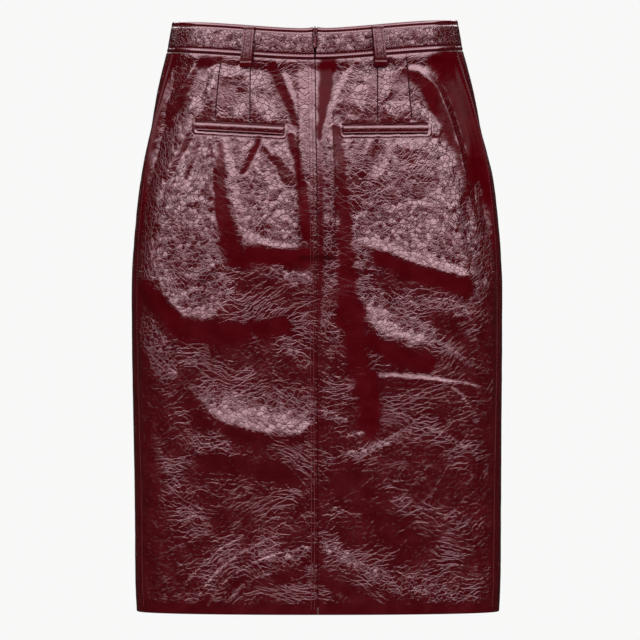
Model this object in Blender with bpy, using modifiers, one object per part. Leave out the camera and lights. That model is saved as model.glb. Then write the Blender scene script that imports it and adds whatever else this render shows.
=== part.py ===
"""A knee-length leather pencil skirt with a waistband, belt loops, back welt pockets and a centre back zip.

Units are metres and +Z is up. The skirt keeps the hollow form that it has on a wearer. Its back faces -Y, so
+X is on the right of someone who looks at the back. The origin is the middle of the waistband, where it is held.
Angles run round the skirt from the centre back: 0 is the centre back and a positive angle goes towards +X.
"""

import math
from collections import namedtuple
from functools import lru_cache

import bmesh
import bpy
from mathutils import Matrix, Vector

COLLECTION = "leather_skirt"
MM = 0.001

# Driving dimensions
GAP = 0.3 * MM  # between pieces that meet
LEATHER = 1.5 * MM  # one layer of panel leather
BAND_WALL = 3.0 * MM  # the waistband is two layers
BAND_PROUD = 0.8 * MM  # how far the waistband stands out from the panels
BAND_HEIGHT = 32 * MM
WAIST_TOP = 19.5 * MM  # the waistband's upper edge at the sides
WAIST_DIP = 11 * MM  # how much lower that edge is at the centre back and centre front
WAIST_TILT = 1 * MM  # how much higher the +X side is than the middle of the two
HEM = -591 * MM
SEAM_BEHIND = 36 * MM  # the side seams lie this far behind the widest line
SEAM_MARGIN = 2.5 * MM  # width of the first and last column of faces, along a seam
BAND_EDGE = 0.7 * MM  # bevel of the waistband's edges

# The skirt's cross-sections. half_width, back and front are distances from the middle, shift moves the section
# along X, and power is the superellipse's: 2 is an ellipse, and more is squarer.
Section = namedtuple("Section", "z half_width shift back front power")
SECTIONS = [
    Section(20 * MM, 146.0 * MM, -2.0 * MM, 94 * MM, 91 * MM, 2.25),
    Section(-21 * MM, 155.5 * MM, -2.0 * MM, 99.5 * MM, 95 * MM, 2.25),
    Section(-62 * MM, 167.0 * MM, -1.5 * MM, 106 * MM, 98 * MM, 2.27),
    Section(-104 * MM, 177.0 * MM, -1.0 * MM, 112 * MM, 101 * MM, 2.30),
    Section(-145 * MM, 184.0 * MM, 0.0, 116 * MM, 103 * MM, 2.32),
    Section(-217 * MM, 190.0 * MM, 0.0, 118.5 * MM, 103 * MM, 2.35),
    Section(-300 * MM, 191.5 * MM, 0.0, 115.5 * MM, 102 * MM, 2.35),
    Section(-393 * MM, 190.5 * MM, 0.5 * MM, 111 * MM, 100 * MM, 2.32),
    Section(-476 * MM, 189.5 * MM, 1.0 * MM, 107 * MM, 98 * MM, 2.30),
    Section(-559 * MM, 189.0 * MM, 1.0 * MM, 104 * MM, 96 * MM, 2.30),
    Section(-592 * MM, 187.5 * MM, 1.0 * MM, 103 * MM, 95 * MM, 2.30),
]

# The largest folds. Each is a ridge, or a trough where height is below 0, along a curve from start over bend to
# end, in millimetres across (x) and up (z). reach is the distance at which the fold has died out.
Fold = namedtuple("Fold", "name side start bend end reach height")
FOLDS = [
    Fold("trough from the left dart", "back", (-94, -24), (-130, -60), (-160, -95), 17, -2.6),
    Fold("ridge off the left pocket", "back", (-130, -90), (-143, -104), (-154, -120), 12, 2.6),
    Fold("valley under the left pocket", "back", (-100, -118), (-96, -172), (-102, -224), 19, -3.6),
    Fold("left seat roll", "back", (-96, -240), (-60, -214), (-18, -216), 26, 4.2),
    Fold("left hip roll", "back", (-168, -252), (-126, -312), (-80, -268), 24, 4.0),
    Fold("hollow under the left seat", "back", (-150, -304), (-88, -300), (-30, -292), 24, -3.8),
    Fold("left thigh roll", "back", (-144, -418), (-78, -392), (-16, -392), 22, 3.4),
    Fold("left knee roll", "back", (-160, -480), (-122, -462), (-86, -492), 22, 2.8),
    Fold("left hem roll", "back", (-86, -530), (-46, -520), (-14, -534), 18, 2.4),
    Fold("ridge beside the zip, upper", "back", (28, -36), (12, -66), (11, -98), 12, 2.2),
    Fold("ridge beside the zip, lower", "back", (12, -98), (17, -186), (14, -282), 13, 2.6),
    Fold("channel beside the zip", "back", (31, -116), (36, -188), (28, -258), 17, -3.2),
    Fold("arc over the right hip", "back", (110, -40), (164, -80), (172, -172), 15, 3.0),
    Fold("right seat roll", "back", (50, -216), (108, -216), (170, -248), 18, 4.6),
    Fold("hollow under the right seat", "back", (54, -240), (104, -248), (156, -270), 18, -3.8),
    Fold("right thigh patch", "back", (50, -302), (72, -284), (112, -318), 20, 3.2),
    Fold("hollow under the patch", "back", (56, -350), (62, -366), (58, -388), 24, -3.2),
    Fold("right thigh ridge", "back", (68, -342), (116, -344), (166, -358), 13, 2.6),
    Fold("right knee roll", "back", (6, -388), (66, -428), (146, -412), 19, 3.2),
    Fold("right hem roll", "back", (6, -520), (62, -560), (148, -574), 17, 3.0),
    Fold("front hip trough, left", "front", (-96, -40), (-118, -96), (-150, -150), 22, -2.6),
    Fold("front hip trough, right", "front", (90, -48), (124, -90), (146, -160), 24, -2.8),
    Fold("front lap roll", "front", (-120, -214), (-10, -246), (104, -206), 30, 3.6),
    Fold("front thigh roll", "front", (-84, -330), (20, -300), (130, -336), 28, -3.0),
    Fold("front knee roll", "front", (-138, -446), (-40, -424), (60, -462), 28, 3.0),
]
FOLD_STEPS = 12  # pieces of each fold's curve
FOLD_ENDS = 0.35  # share of its height that a fold keeps at its two ends
CENTRE_CALM = (3 * MM, 15 * MM)  # folds start to rise this far from the centre back and are whole here
SIDE_CALM = 26 * MM  # folds die out over this depth before a side seam
WAIST_CALM = 22 * MM  # and over this height under the waistband

# Belt loops: angle round the skirt of each loop's middle, in degrees
LOOP_ANGLES = {"back_left": -37.0, "back_right": 35.5, "front_left": -141.0, "front_right": 141.0}
LOOP_WIDTH = 11 * MM
LOOP_WALL = 1.8 * MM
LOOP_EDGE = 0.5 * MM
LOOP_OFF = 0.5 * MM  # between the loop's fixed ends and what they lie on
LOOP_SLACK = 2.4 * MM  # room for a belt at the middle of the loop
LOOP_FULLNESS = 0.6  # power of the slack's sine: less makes the loop flatter in its middle and steeper at its ends
LOOP_STEP = 0.22  # the loop has stepped out over the waistband's edge at this share of its height
LOOP_BELOW_TOP = 1.5 * MM  # from the waistband's upper edge down to the loop
LOOP_UNDER_BAND = 11.5 * MM  # the loop goes on this far below the waistband

# Welts of the back pockets: x and z of the upper edge's two ends
Welt = namedtuple("Welt", "name start end")
WELTS = [
    Welt("left", (-127 * MM, -87.0 * MM), (-34.5 * MM, -92.5 * MM)),
    Welt("right", (27.0 * MM, -91.5 * MM), (117 * MM, -90.0 * MM)),
]
WELT_HEIGHT = 8.6 * MM
WELT_WALL = 2.2 * MM
WELT_EDGE = 0.6 * MM
WELT_OFF = 0.6 * MM  # between the welt and the panel's smooth surface

# The zip
BAND_ENDS_APART = 4.3 * MM  # the waistband's ends leave this room for the slider's bridge
BAND_ENDS_LOW = 1.2 * MM  # and this much at their lower edge
BAND_ENDS_DOWN = 12 * MM  # the wider part reaches this far below the upper edge
ZIP_END = -224 * MM
TAPE_WIDTH = 28 * MM
TAPE_WALL = 0.8 * MM
TAPE_BELOW_TOP = 3 * MM
TAPE_ROWS = 15
TAPE_DEPTH = 3.6 * MM  # from the panels' outer surface in to the tape
TAPE_NOTCH = (7 * MM, 12 * MM)  # the notch's width and depth at the tape's upper end, for the slider
PIVOT_Z = 5.5 * MM  # height of the pull tab's hinge
SLIDER = (5.6 * MM, 8.6 * MM)  # width and height of the slider's plates
SLIDER_BELOW = 0.55  # share of that height below the hinge
SLIDER_CORNER = 1.4 * MM
SLIDER_PLATE = 0.9 * MM
SLIDER_SLOT = 1.2 * MM  # between its two plates
NECK_WIDTH = 1.8 * MM
NECK_HEIGHTS = (3.4 * MM, 0.6 * MM)  # its lower and upper end, below the plates' upper edge
NECK_CORNER = 0.5 * MM
LAP = 0.1 * MM  # by which joined parts of the slider go into each other
BRIDGE_WIDTH = 1.2 * MM
BRIDGE_WIRE = 0.9 * MM
BRIDGE_ROOM = 1.0 * MM  # clear depth inside the bridge on either side of the hinge
BRIDGE_HEIGHTS = (-1.95 * MM, 4.6 * MM)  # lower and upper end, from the hinge
BRIDGE_CHAMFERS = (0.8 * MM, 1.4 * MM)  # of its lower and its upper outer corner
PULL_WALL = 1.0 * MM
PULL_LENGTH = 17.4 * MM
PULL_EYE = (1.8 * MM, 4.4 * MM)  # the eye's clear width and height
EYE_RIM = 0.9 * MM
EYE_CHAMFER = 0.7 * MM
EYE_CORNER = 0.5 * MM
# The tab's edge under the eye: half width, and distance down from the eye's clear end
PULL_NECK = [(1.0 * MM, 0.9 * MM), (0.9 * MM, 2.1 * MM), (1.3 * MM, 3.2 * MM)]
# and its tip: half width, and distance up from the tab's lower end
PULL_TIP = [(1.45 * MM, 1.4 * MM), (0.8 * MM, 0.3 * MM)]
PULL_OFF = 0.9 * MM  # the pull tab's middle plane stands this far off the waistband

OXBLOOD = (0.075, 0.006, 0.014, 1.0)
OXBLOOD_DARK = (0.055, 0.005, 0.011, 1.0)
TAPE_RED = (0.045, 0.006, 0.010, 1.0)
GUNMETAL = (0.10, 0.095, 0.10, 1.0)


# The skirt's form ----------------------------------------------------------------------------------------------


def smoothstep(value, low, high):
    t = min(max((value - low) / (high - low), 0.0), 1.0)
    return t * t * (3 - 2 * t)


@lru_cache(maxsize=None)
def section(z):
    """The cross-section at height z, by a smooth curve through the rows of SECTIONS."""
    rows = sorted(SECTIONS)
    i = min(max(sum(row.z < z for row in rows) - 1, 0), len(rows) - 2)
    low, high = rows[i], rows[i + 1]
    span = high.z - low.z
    t = (z - low.z) / span

    def slope(k, value):
        below, above = rows[max(k - 1, 0)], rows[min(k + 1, len(rows) - 1)]
        return (value(above) - value(below)) / (above.z - below.z) * span

    def between(value):
        a, b = value(low), value(high)
        return (
            (2 * t**3 - 3 * t**2 + 1) * a
            + (t**3 - 2 * t**2 + t) * slope(i, value)
            + (3 * t**2 - 2 * t**3) * b
            + (t**3 - t**2) * slope(i + 1, value)
        )

    return Section(z, *(between(lambda row, n=n: getattr(row, n)) for n in Section._fields[1:]))


def on_outline(angle, z):
    """The point and the outward level normal of the smooth form, with no folds."""
    s = section(z)
    across, along = math.sin(angle), math.cos(angle)
    depth = s.back if along > 0 else s.front
    a, b, p = abs(across) / s.half_width, abs(along) / depth, s.power
    radius = (a**p + b**p) ** (-1 / p)
    point = Vector((s.shift + radius * across, -radius * along, z))
    normal = Vector((
        math.copysign(a ** (p - 1) / s.half_width, across),
        -math.copysign(b ** (p - 1) / depth, along),
        0,
    ))
    return point, normal.normalized()


def angle_at_x(x, z):
    """The angle of the point on the back whose x is given."""
    s = section(z)
    a = min(abs(x - s.shift) / s.half_width, 0.999)
    b = (1 - a**s.power) ** (1 / s.power)
    return math.atan2(x - s.shift, b * s.back)


def seam_angle(z):
    """The angle of the +X side seam. The other is its negative."""
    s = section(z)
    b = SEAM_BEHIND / s.back
    a = (1 - b**s.power) ** (1 / s.power)
    return math.atan2(a * s.half_width, SEAM_BEHIND)


def dip(angle):
    """0 at the sides, and 1 at the centre back and front."""
    return math.cos(angle) ** 2


def waist_top(angle):
    return WAIST_TOP - WAIST_DIP * dip(angle) + WAIST_TILT * math.sin(angle)


def band_seam(angle):
    return waist_top(angle) - BAND_HEIGHT


def fold_curve(fold):
    """Points along the fold, in metres."""
    start, bend, end = (Vector(p) * MM for p in (fold.start, fold.bend, fold.end))
    shares = [i / FOLD_STEPS for i in range(FOLD_STEPS + 1)]
    return [start * (1 - t) ** 2 + bend * 2 * t * (1 - t) + end * t**2 for t in shares]


FOLD_CURVES = [(fold, fold_curve(fold)) for fold in FOLDS]


def fold_height(angle, point):
    """How far the folds move the panel out at a point of the smooth form."""
    side = "back" if math.cos(angle) > 0 else "front"
    here = Vector((point.x, point.z))
    rise = 0.0
    for fold, curve in FOLD_CURVES:
        if fold.side != side:
            continue
        near = min(range(len(curve)), key=lambda i: (curve[i] - here).length_squared)
        distance = (curve[near] - here).length / (fold.reach * MM)
        if distance < 1:
            along = near / (len(curve) - 1)
            ends = FOLD_ENDS + (1 - FOLD_ENDS) * math.sin(math.pi * along)
            rise += fold.height * MM * ends * (1 - distance**2) ** 2
    calm = smoothstep(band_seam(angle) - point.z, 0, WAIST_CALM)
    calm *= smoothstep(abs(point.y + SEAM_BEHIND), 0, SIDE_CALM)
    if side == "back":
        calm *= smoothstep(abs(point.x), *CENTRE_CALM)
    return rise * calm


def on_skirt(angle, z, out=0.0):
    """A point of the panels' outer surface with its folds, moved out."""
    point, normal = on_outline(angle, z)
    return point + normal * (fold_height(angle, point) + out)


def on_band(angle, z, out=0.0):
    """A point of the waistband's outer surface, moved out."""
    point, normal = on_outline(angle, z)
    return point + normal * (BAND_PROUD + out)


# Making objects ------------------------------------------------------------------------------------------------


def clear_scene():
    for old in list(bpy.data.objects):
        bpy.data.objects.remove(old, do_unlink=True)


def make_material(name, colour, roughness, metallic=0.0, coat=0.0):
    material = bpy.data.materials.new(name)
    material.use_nodes = True
    shader = material.node_tree.nodes["Principled BSDF"]
    shader.inputs["Base Color"].default_value = colour
    shader.inputs["Roughness"].default_value = roughness
    shader.inputs["Metallic"].default_value = metallic
    shader.inputs["Coat Weight"].default_value = coat
    material.diffuse_color = colour
    return material


def add_object(name, data, material, collection):
    obj = bpy.data.objects.new(name, data)
    collection.objects.link(obj)
    obj.data.materials.append(material)
    return obj


def spread(i, count, margin):
    """Where column i of count is, from 0 to 1, with a narrow column of width margin at each end."""
    if i in (0, count):
        return i / count
    return margin + (1 - 2 * margin) * (i - 1) / (count - 2)


def grid_mesh(name, columns, rows, place, margin=None):
    """A grid of faces with each corner at place(u, v), where u and v go from 0 to 1."""
    bm = bmesh.new()
    bmesh.ops.create_grid(bm, x_segments=columns, y_segments=rows, size=0.5)
    for vert in bm.verts:
        i, v = round((vert.co.x + 0.5) * columns), vert.co.y + 0.5
        u = i / columns if margin is None else spread(i, columns, margin)
        vert.co = place(u, v)
    mesh = bpy.data.meshes.new(name)
    bm.to_mesh(mesh)
    bm.free()
    mesh.shade_smooth()
    return mesh


def add_wall(obj, wall, outward=False):
    modifier = obj.modifiers.new("Wall", "SOLIDIFY")
    modifier.thickness = wall
    modifier.offset = 1.0 if outward else -1.0
    return obj


def add_bevel(obj, width):
    modifier = obj.modifiers.new("Edges", "BEVEL")
    modifier.width = width
    modifier.segments = 1
    modifier.limit_method = "ANGLE"
    modifier.angle_limit = math.radians(50)
    return obj


# Panels and waistband ------------------------------------------------------------------------------------------


def between_angles(first, last, u, z):
    """The angle at share u of the way round, in steps that are about even along the leather."""
    s = section(z)
    depth = (s.back + s.front) / 2

    def even(angle):
        turn = math.atan2(math.sin(angle) * depth, math.cos(angle) * s.half_width)
        return turn if abs(angle) < math.pi / 2 or turn * angle > 0 else turn + math.copysign(2 * math.pi, angle)

    start, end = even(first), even(last)
    turn = start + (end - start) * u
    angle = math.atan2(math.sin(turn) * s.half_width, math.cos(turn) * depth)
    return angle % (2 * math.pi) if turn > math.pi else angle


def edge_angles(piece, z, centre_gap):
    """The angles at which a piece starts and ends at height z, clear of its neighbours."""
    s, seam = section(z), seam_angle(z)
    centre = centre_gap / 2 / s.back
    side = GAP / 2 / s.half_width
    if piece == "back_right":
        return centre, seam - side
    if piece == "back_left":
        return -seam + side, -centre
    return seam + side, 2 * math.pi - seam - side


def wrap(name, piece, columns, rows, low, high, surface, wall, material, collection, centre_gap=lambda z: GAP):
    """A piece that goes round the skirt, from low(angle) up to high(angle)."""

    def place(u, v):
        z = HEM / 2  # a first guess, since the angle at a height depends on that height
        for _ in range(3):
            first, last = edge_angles(piece, z, centre_gap(z))
            angle = between_angles(first, last, u, z)
            z = low(angle) + (high(angle) - low(angle)) * v
        return surface(angle, z)

    first, last = edge_angles(piece, HEM / 2, GAP)
    middle = section(HEM / 2)
    length = (last - first) * (middle.half_width + (middle.back + middle.front) / 2) / 2
    mesh = grid_mesh(name, columns, rows, place, margin=SEAM_MARGIN / length)
    return add_wall(add_object(name, mesh, material, collection), wall)


def band_gap(z):
    """How far apart the waistband's ends are at the zip: widest at the top, where the slider is."""
    top = waist_top(0)
    share = smoothstep(z, top - BAND_HEIGHT, top - BAND_ENDS_DOWN)
    return BAND_ENDS_LOW + (BAND_ENDS_APART - BAND_ENDS_LOW) * share


def make_panels(leather, collection):
    def hem(angle):
        return HEM

    def top(angle):
        return band_seam(angle) - GAP

    for piece, columns, rows in (("back_left", 17, 36), ("back_right", 17, 36), ("front", 18, 16)):
        wrap(f"{piece}_panel", piece, columns, rows, hem, top, on_skirt, LEATHER, leather, collection)


def make_waistband(leather, collection):
    for piece, columns in (("back_left", 12), ("back_right", 12), ("front", 20)):
        band = wrap(
            f"waistband_{piece}", piece, columns, 2, band_seam, waist_top, on_band, BAND_WALL,
            leather, collection, centre_gap=band_gap,
        )
        add_bevel(band, BAND_EDGE)


def make_belt_loops(leather, collection):
    """Straps over the waistband that are fixed at both ends and stand off it between them."""
    for place_name, degrees in LOOP_ANGLES.items():
        middle = math.radians(degrees)
        top = waist_top(middle) - LOOP_BELOW_TOP
        bottom = band_seam(middle) - LOOP_UNDER_BAND
        turn = LOOP_WIDTH / on_outline(middle, top)[0].to_2d().length

        def place(u, v, middle=middle, top=top, bottom=bottom, turn=turn):
            angle = middle + (u - 0.5) * turn
            z = bottom + (top - bottom) * v
            slack = LOOP_SLACK * math.sin(math.pi * v) ** LOOP_FULLNESS
            proud = BAND_PROUD * smoothstep(v, 0.0, LOOP_STEP)
            return on_outline(angle, z)[0] + on_outline(middle, z)[1] * (LOOP_OFF + proud + slack)

        mesh = grid_mesh("loop", 2, 9, place)
        loop = add_object(f"belt_loop_{place_name}", mesh, leather, collection)
        add_bevel(add_wall(loop, LOOP_WALL, outward=True), LOOP_EDGE)


def make_welts(leather, collection):
    """The strips that finish the back pockets' mouths, lying on the panels."""
    for welt in WELTS:
        def place(u, v, welt=welt):
            x = welt.start[0] + (welt.end[0] - welt.start[0]) * u
            z = welt.start[1] + (welt.end[1] - welt.start[1]) * u - WELT_HEIGHT * (1 - v)
            return on_skirt(angle_at_x(x, z), z, WELT_OFF)

        mesh = grid_mesh("welt", 12, 1, place)
        strip = add_object(f"pocket_welt_{welt.name}", mesh, leather, collection)
        add_bevel(add_wall(strip, WELT_WALL, outward=True), WELT_EDGE)


# The zip -------------------------------------------------------------------------------------------------------


def make_tape(material, collection):
    """The closed tapes behind the centre back, with a notch at the top in which the slider sits."""
    top = waist_top(0) - TAPE_BELOW_TOP
    notch_width, notch_depth = TAPE_NOTCH
    edges_x = [-TAPE_WIDTH / 2, -notch_width / 2, notch_width / 2, TAPE_WIDTH / 2]
    notch_v = 1 - notch_depth / (top - ZIP_END)

    def place(u, v):
        v = v * TAPE_ROWS / (TAPE_ROWS - 1) * notch_v if v < 1 else 1
        z = ZIP_END + (top - ZIP_END) * min(v, 1)
        x = section(z).shift + edges_x[round(u * 3)]
        return on_outline(angle_at_x(x, z), z)[0] + Vector((0, TAPE_DEPTH, 0))

    mesh = grid_mesh("zip_tape", len(edges_x) - 1, TAPE_ROWS, place)
    bm = bmesh.new()
    bm.from_mesh(mesh)
    middles = [(face, face.calc_center_median()) for face in bm.faces]
    notch = [face for face, at in middles
             if abs(at.x - section(at.z).shift) < notch_width / 4 and at.z > top - notch_depth]
    bmesh.ops.delete(bm, geom=notch, context="FACES")
    bm.to_mesh(mesh)
    bm.free()
    add_wall(add_object("zip_tape", mesh, material, collection), TAPE_WALL)


def hinge_frame():
    """Where the pull tab's hinge is: X along the hinge, Y into the skirt and Z up the sloping waistband."""
    below, above = on_band(0, PIVOT_Z - 10 * MM), on_band(0, PIVOT_Z)
    up = (above - below).normalized()
    into = up.cross(Vector((1, 0, 0)))
    place = above - into * PULL_OFF
    turn = Matrix((Vector((1, 0, 0)), into, up)).transposed().to_4x4()
    return Matrix.Translation(place) @ turn


def outline_solid(name, outlines, thickness, turn):
    """A flat plate from closed outlines, each a list of points. Outlines inside the first are holes."""
    curve = bpy.data.curves.new(name, "CURVE")
    curve.dimensions = "2D"
    curve.fill_mode = "BOTH"
    curve.extrude = thickness / 2
    for outline in outlines:
        spline = curve.splines.new("POLY")
        spline.points.add(len(outline) - 1)
        for point, (x, y) in zip(spline.points, outline):
            point.co = (x, y, 0, 1)
        spline.use_cyclic_u = True
    source = bpy.data.objects.new(name, curve)
    bpy.context.scene.collection.objects.link(source)
    source.matrix_world = turn
    graph = bpy.context.evaluated_depsgraph_get()
    mesh = bpy.data.meshes.new_from_object(source.evaluated_get(graph))
    mesh.transform(turn)
    bpy.data.objects.remove(source, do_unlink=True)
    bm = bmesh.new()
    bm.from_mesh(mesh)
    bmesh.ops.remove_doubles(bm, verts=bm.verts, dist=0.01 * MM)
    bmesh.ops.recalc_face_normals(bm, faces=bm.faces)
    bm.to_mesh(mesh)
    bm.free()
    return mesh


def rounded(width, low, high, corner, steps=3):
    """A rectangle of the given width between two heights, with round corners."""
    points = []
    for cx, cy, start in (
        (width / 2 - corner, high - corner, 0),
        (-width / 2 + corner, high - corner, 90),
        (-width / 2 + corner, low + corner, 180),
        (width / 2 - corner, low + corner, 270),
    ):
        for i in range(steps + 1):
            a = math.radians(start + 90 * i / steps)
            points.append((cx + corner * math.cos(a), cy + corner * math.sin(a)))
    return points


def join_by_union(base, others, cutters):
    for other in others:
        cutters.objects.link(other)
        other.hide_render = True
        other.display_type = "WIRE"
        modifier = base.modifiers.new(other.name, "BOOLEAN")
        modifier.operation = "UNION"
        modifier.object = other
    return base


def make_slider(material, collection, cutters, frame):
    """Two plates joined by a neck, and the bridge that the pull tab hangs on."""
    upright = Matrix.Rotation(math.radians(90), 4, "X")
    sideways = Matrix.Rotation(math.radians(90), 4, "Z") @ upright
    width, height = SLIDER
    front_face = PULL_OFF + BAND_WALL + GAP
    low, high = -height * SLIDER_BELOW, height * (1 - SLIDER_BELOW)
    plate = rounded(width, low, high, SLIDER_CORNER)

    def plate_at(name, depth, outline, thickness):
        middle = Matrix.Translation((0, depth + thickness / 2, 0))
        return bpy.data.objects.new(name, outline_solid(name, [outline], thickness, middle @ upright))

    front = add_object(
        "zip_slider",
        outline_solid("zip_slider", [plate], SLIDER_PLATE,
                      Matrix.Translation((0, front_face + SLIDER_PLATE / 2, 0)) @ upright),
        material, collection,
    )
    neck_outline = rounded(NECK_WIDTH, high - NECK_HEIGHTS[0], high - NECK_HEIGHTS[1], NECK_CORNER)
    neck = plate_at("slider_neck", front_face + SLIDER_PLATE - LAP, neck_outline, SLIDER_SLOT + 2 * LAP)
    back = plate_at("slider_back", front_face + SLIDER_PLATE + SLIDER_SLOT, plate, SLIDER_PLATE)
    # The bridge stands up from the front plate. Its outline is drawn outwards (x) and up (y).
    room, out = BRIDGE_ROOM, BRIDGE_WIRE + BRIDGE_ROOM
    foot = -(front_face + LAP)
    bottom, top = BRIDGE_HEIGHTS
    lower, upper = BRIDGE_CHAMFERS
    arch = [(foot, bottom), (out - lower, bottom), (out, bottom + lower), (out, top - upper), (out - upper, top),
            (foot, top)]
    inner_bottom, inner_top, cut = bottom + BRIDGE_WIRE, top - BRIDGE_WIRE, upper / 2
    hollow = [(-room, inner_bottom), (room, inner_bottom), (room, inner_top - cut), (room - cut, inner_top),
              (-room, inner_top)]
    outward = Matrix.Rotation(math.radians(-90), 4, "Z") @ upright
    bridge = bpy.data.objects.new(
        "slider_bridge", outline_solid("slider_bridge", [arch, hollow], BRIDGE_WIDTH, outward)
    )
    for obj in (front, neck, back, bridge):
        obj.matrix_world = frame
    return join_by_union(front, [neck, back, bridge], cutters)


def make_pull(material, collection, frame):
    """The pull tab: an eye round the slider's bridge, a neck and a narrow plate."""
    eye_width, eye_height = PULL_EYE
    half = eye_width / 2 + EYE_RIM
    top = PULL_WALL / 2
    eye_end = top - PULL_WALL - eye_height
    side = [(half - EYE_CHAMFER, top), (half, top - EYE_CHAMFER), (half, eye_end + EYE_CHAMFER / 2)]
    side += [(x, eye_end - down) for x, down in PULL_NECK]
    side += [(x, up - PULL_LENGTH) for x, up in PULL_TIP] + [(0.0, -PULL_LENGTH)]
    outline = side + [(-x, y) for x, y in reversed(side[:-1])]
    eye = rounded(eye_width, eye_end, eye_end + eye_height, EYE_CORNER)
    upright = Matrix.Rotation(math.radians(90), 4, "X")
    mesh = outline_solid("zip_pull", [outline, eye], PULL_WALL, upright)
    pull = add_object("zip_pull", mesh, material, collection)
    pull.matrix_world = frame
    return pull


def main():
    clear_scene()
    collection = bpy.data.collections.new(COLLECTION)
    cutters = bpy.data.collections.new("cutters")
    for folder in (collection, cutters):
        bpy.context.scene.collection.children.link(folder)
    leather = make_material("oxblood_leather", OXBLOOD, roughness=0.28, coat=0.8)
    trim = make_material("oxblood_leather_trim", OXBLOOD_DARK, roughness=0.25, coat=0.8)
    tape = make_material("zip_tape", TAPE_RED, roughness=0.9)
    metal = make_material("zip_metal", GUNMETAL, roughness=0.3, metallic=1.0)
    make_panels(leather, collection)
    make_waistband(trim, collection)
    make_belt_loops(trim, collection)
    make_welts(trim, collection)
    make_tape(tape, collection)
    frame = hinge_frame()
    make_slider(metal, collection, cutters, frame)
    make_pull(metal, collection, frame)


main()
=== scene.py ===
"""The looks of a glossy oxblood leather pencil skirt, seen from the back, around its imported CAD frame.

Every length is in metres unless a comment says millimetres, in the frame's own coordinates: +Z up, the
skirt's back faces -Y, and the origin is the middle of the waistband. Each leather piece is a thin closed
shell on the form of the CAD node that it replaces. Angles run round the skirt from the centre back (0)
towards +X.
"""

import math
from collections import namedtuple

import bpy
import numpy as np
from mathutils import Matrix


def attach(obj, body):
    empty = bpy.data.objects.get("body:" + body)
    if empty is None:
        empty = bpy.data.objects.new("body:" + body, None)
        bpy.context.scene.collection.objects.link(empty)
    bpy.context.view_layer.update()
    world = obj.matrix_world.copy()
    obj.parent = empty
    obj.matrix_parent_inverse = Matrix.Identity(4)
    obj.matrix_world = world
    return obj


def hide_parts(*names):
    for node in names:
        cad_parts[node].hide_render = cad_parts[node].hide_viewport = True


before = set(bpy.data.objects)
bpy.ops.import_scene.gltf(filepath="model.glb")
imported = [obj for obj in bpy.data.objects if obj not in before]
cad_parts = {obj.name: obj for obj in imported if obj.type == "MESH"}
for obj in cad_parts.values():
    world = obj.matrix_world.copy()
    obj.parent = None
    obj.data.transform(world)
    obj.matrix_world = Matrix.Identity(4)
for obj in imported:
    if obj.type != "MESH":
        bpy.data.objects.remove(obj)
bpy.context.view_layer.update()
MM = 0.001

# --- The skirt's form, as in the CAD ---

GAP = 0.3 * MM  # between pieces that meet
SEAM_GAP = 0.08 * MM  # between the panels, at the centre back and the side seams
LEATHER = 1.3 * MM
BAND_PROUD = 0.8 * MM
BAND_HEIGHT = 32 * MM
WAIST_TOP = 19.5 * MM
WAIST_DIP = 11 * MM
WAIST_TILT = 1 * MM
HEM = -591 * MM
SEAM_BEHIND = 36 * MM
BAND_ENDS_APART = 4.3 * MM
ZIP_END = -224 * MM

Section = namedtuple("Section", "z half_width shift back front power")
SECTIONS = [  # in millimetres, apart from power
    Section(-592, 187.5, 1.0, 103, 95, 2.30),
    Section(-559, 189.0, 1.0, 104, 96, 2.30),
    Section(-476, 189.5, 1.0, 107, 98, 2.30),
    Section(-393, 190.5, 0.5, 111, 100, 2.32),
    Section(-300, 191.5, 0.0, 115.5, 102, 2.35),
    Section(-217, 190.0, 0.0, 118.5, 103, 2.35),
    Section(-145, 184.0, 0.0, 116, 103, 2.32),
    Section(-104, 177.0, -1.0, 112, 101, 2.30),
    Section(-62, 167.0, -1.5, 106, 98, 2.27),
    Section(-21, 155.5, -2.0, 99.5, 95, 2.25),
    Section(20, 146.0, -2.0, 94, 91, 2.25),
]


def smoothstep(value, low, high):
    t = np.clip((value - low) / (high - low), 0.0, 1.0)
    return t * t * (3 - 2 * t)


def stacked(*parts):
    return np.stack(parts, axis=-1)


def dense_sections(step=1 * MM):
    """A smooth curve through the rows of SECTIONS, read at every step of height."""
    table = np.array(SECTIONS, float) * ([MM] * 5 + [1])
    known, values = table[:, 0], table[:, 1:]
    slopes = np.empty_like(values)
    slopes[1:-1] = (values[2:] - values[:-2]) / (known[2:] - known[:-2])[:, None]
    slopes[0] = (values[1] - values[0]) / (known[1] - known[0])
    slopes[-1] = (values[-1] - values[-2]) / (known[-1] - known[-2])
    z = np.arange(known[0], known[-1] + step, step)
    i = np.clip(np.searchsorted(known, z) - 1, 0, len(known) - 2)
    span = (known[i + 1] - known[i])[:, None]
    t = ((z - known[i]) / span[:, 0])[:, None]
    dense = (
        (2 * t**3 - 3 * t**2 + 1) * values[i]
        + (t**3 - 2 * t**2 + t) * span * slopes[i]
        + (3 * t**2 - 2 * t**3) * values[i + 1]
        + (t**3 - t**2) * span * slopes[i + 1]
    )
    return z, dense


DENSE_Z, DENSE = dense_sections()


def section(z):
    """half_width, shift, back, front and power at each height z."""
    return [np.interp(z, DENSE_Z, DENSE[:, k]) for k in range(DENSE.shape[1])]


def outline(angle, z):
    """x, y and the outward level normal of the smooth form at each angle and height."""
    half_width, shift, back, front, power = section(z)
    across, along = np.sin(angle), np.cos(angle)
    depth = np.where(along > 0, back, front)
    a, b = np.abs(across) / half_width, np.abs(along) / depth
    radius = (a**power + b**power) ** (-1 / power)
    nx = np.sign(across) * a ** (power - 1) / half_width
    ny = -np.sign(along) * b ** (power - 1) / depth
    length = np.hypot(nx, ny)
    return shift + radius * across, -radius * along, nx / length, ny / length


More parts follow.
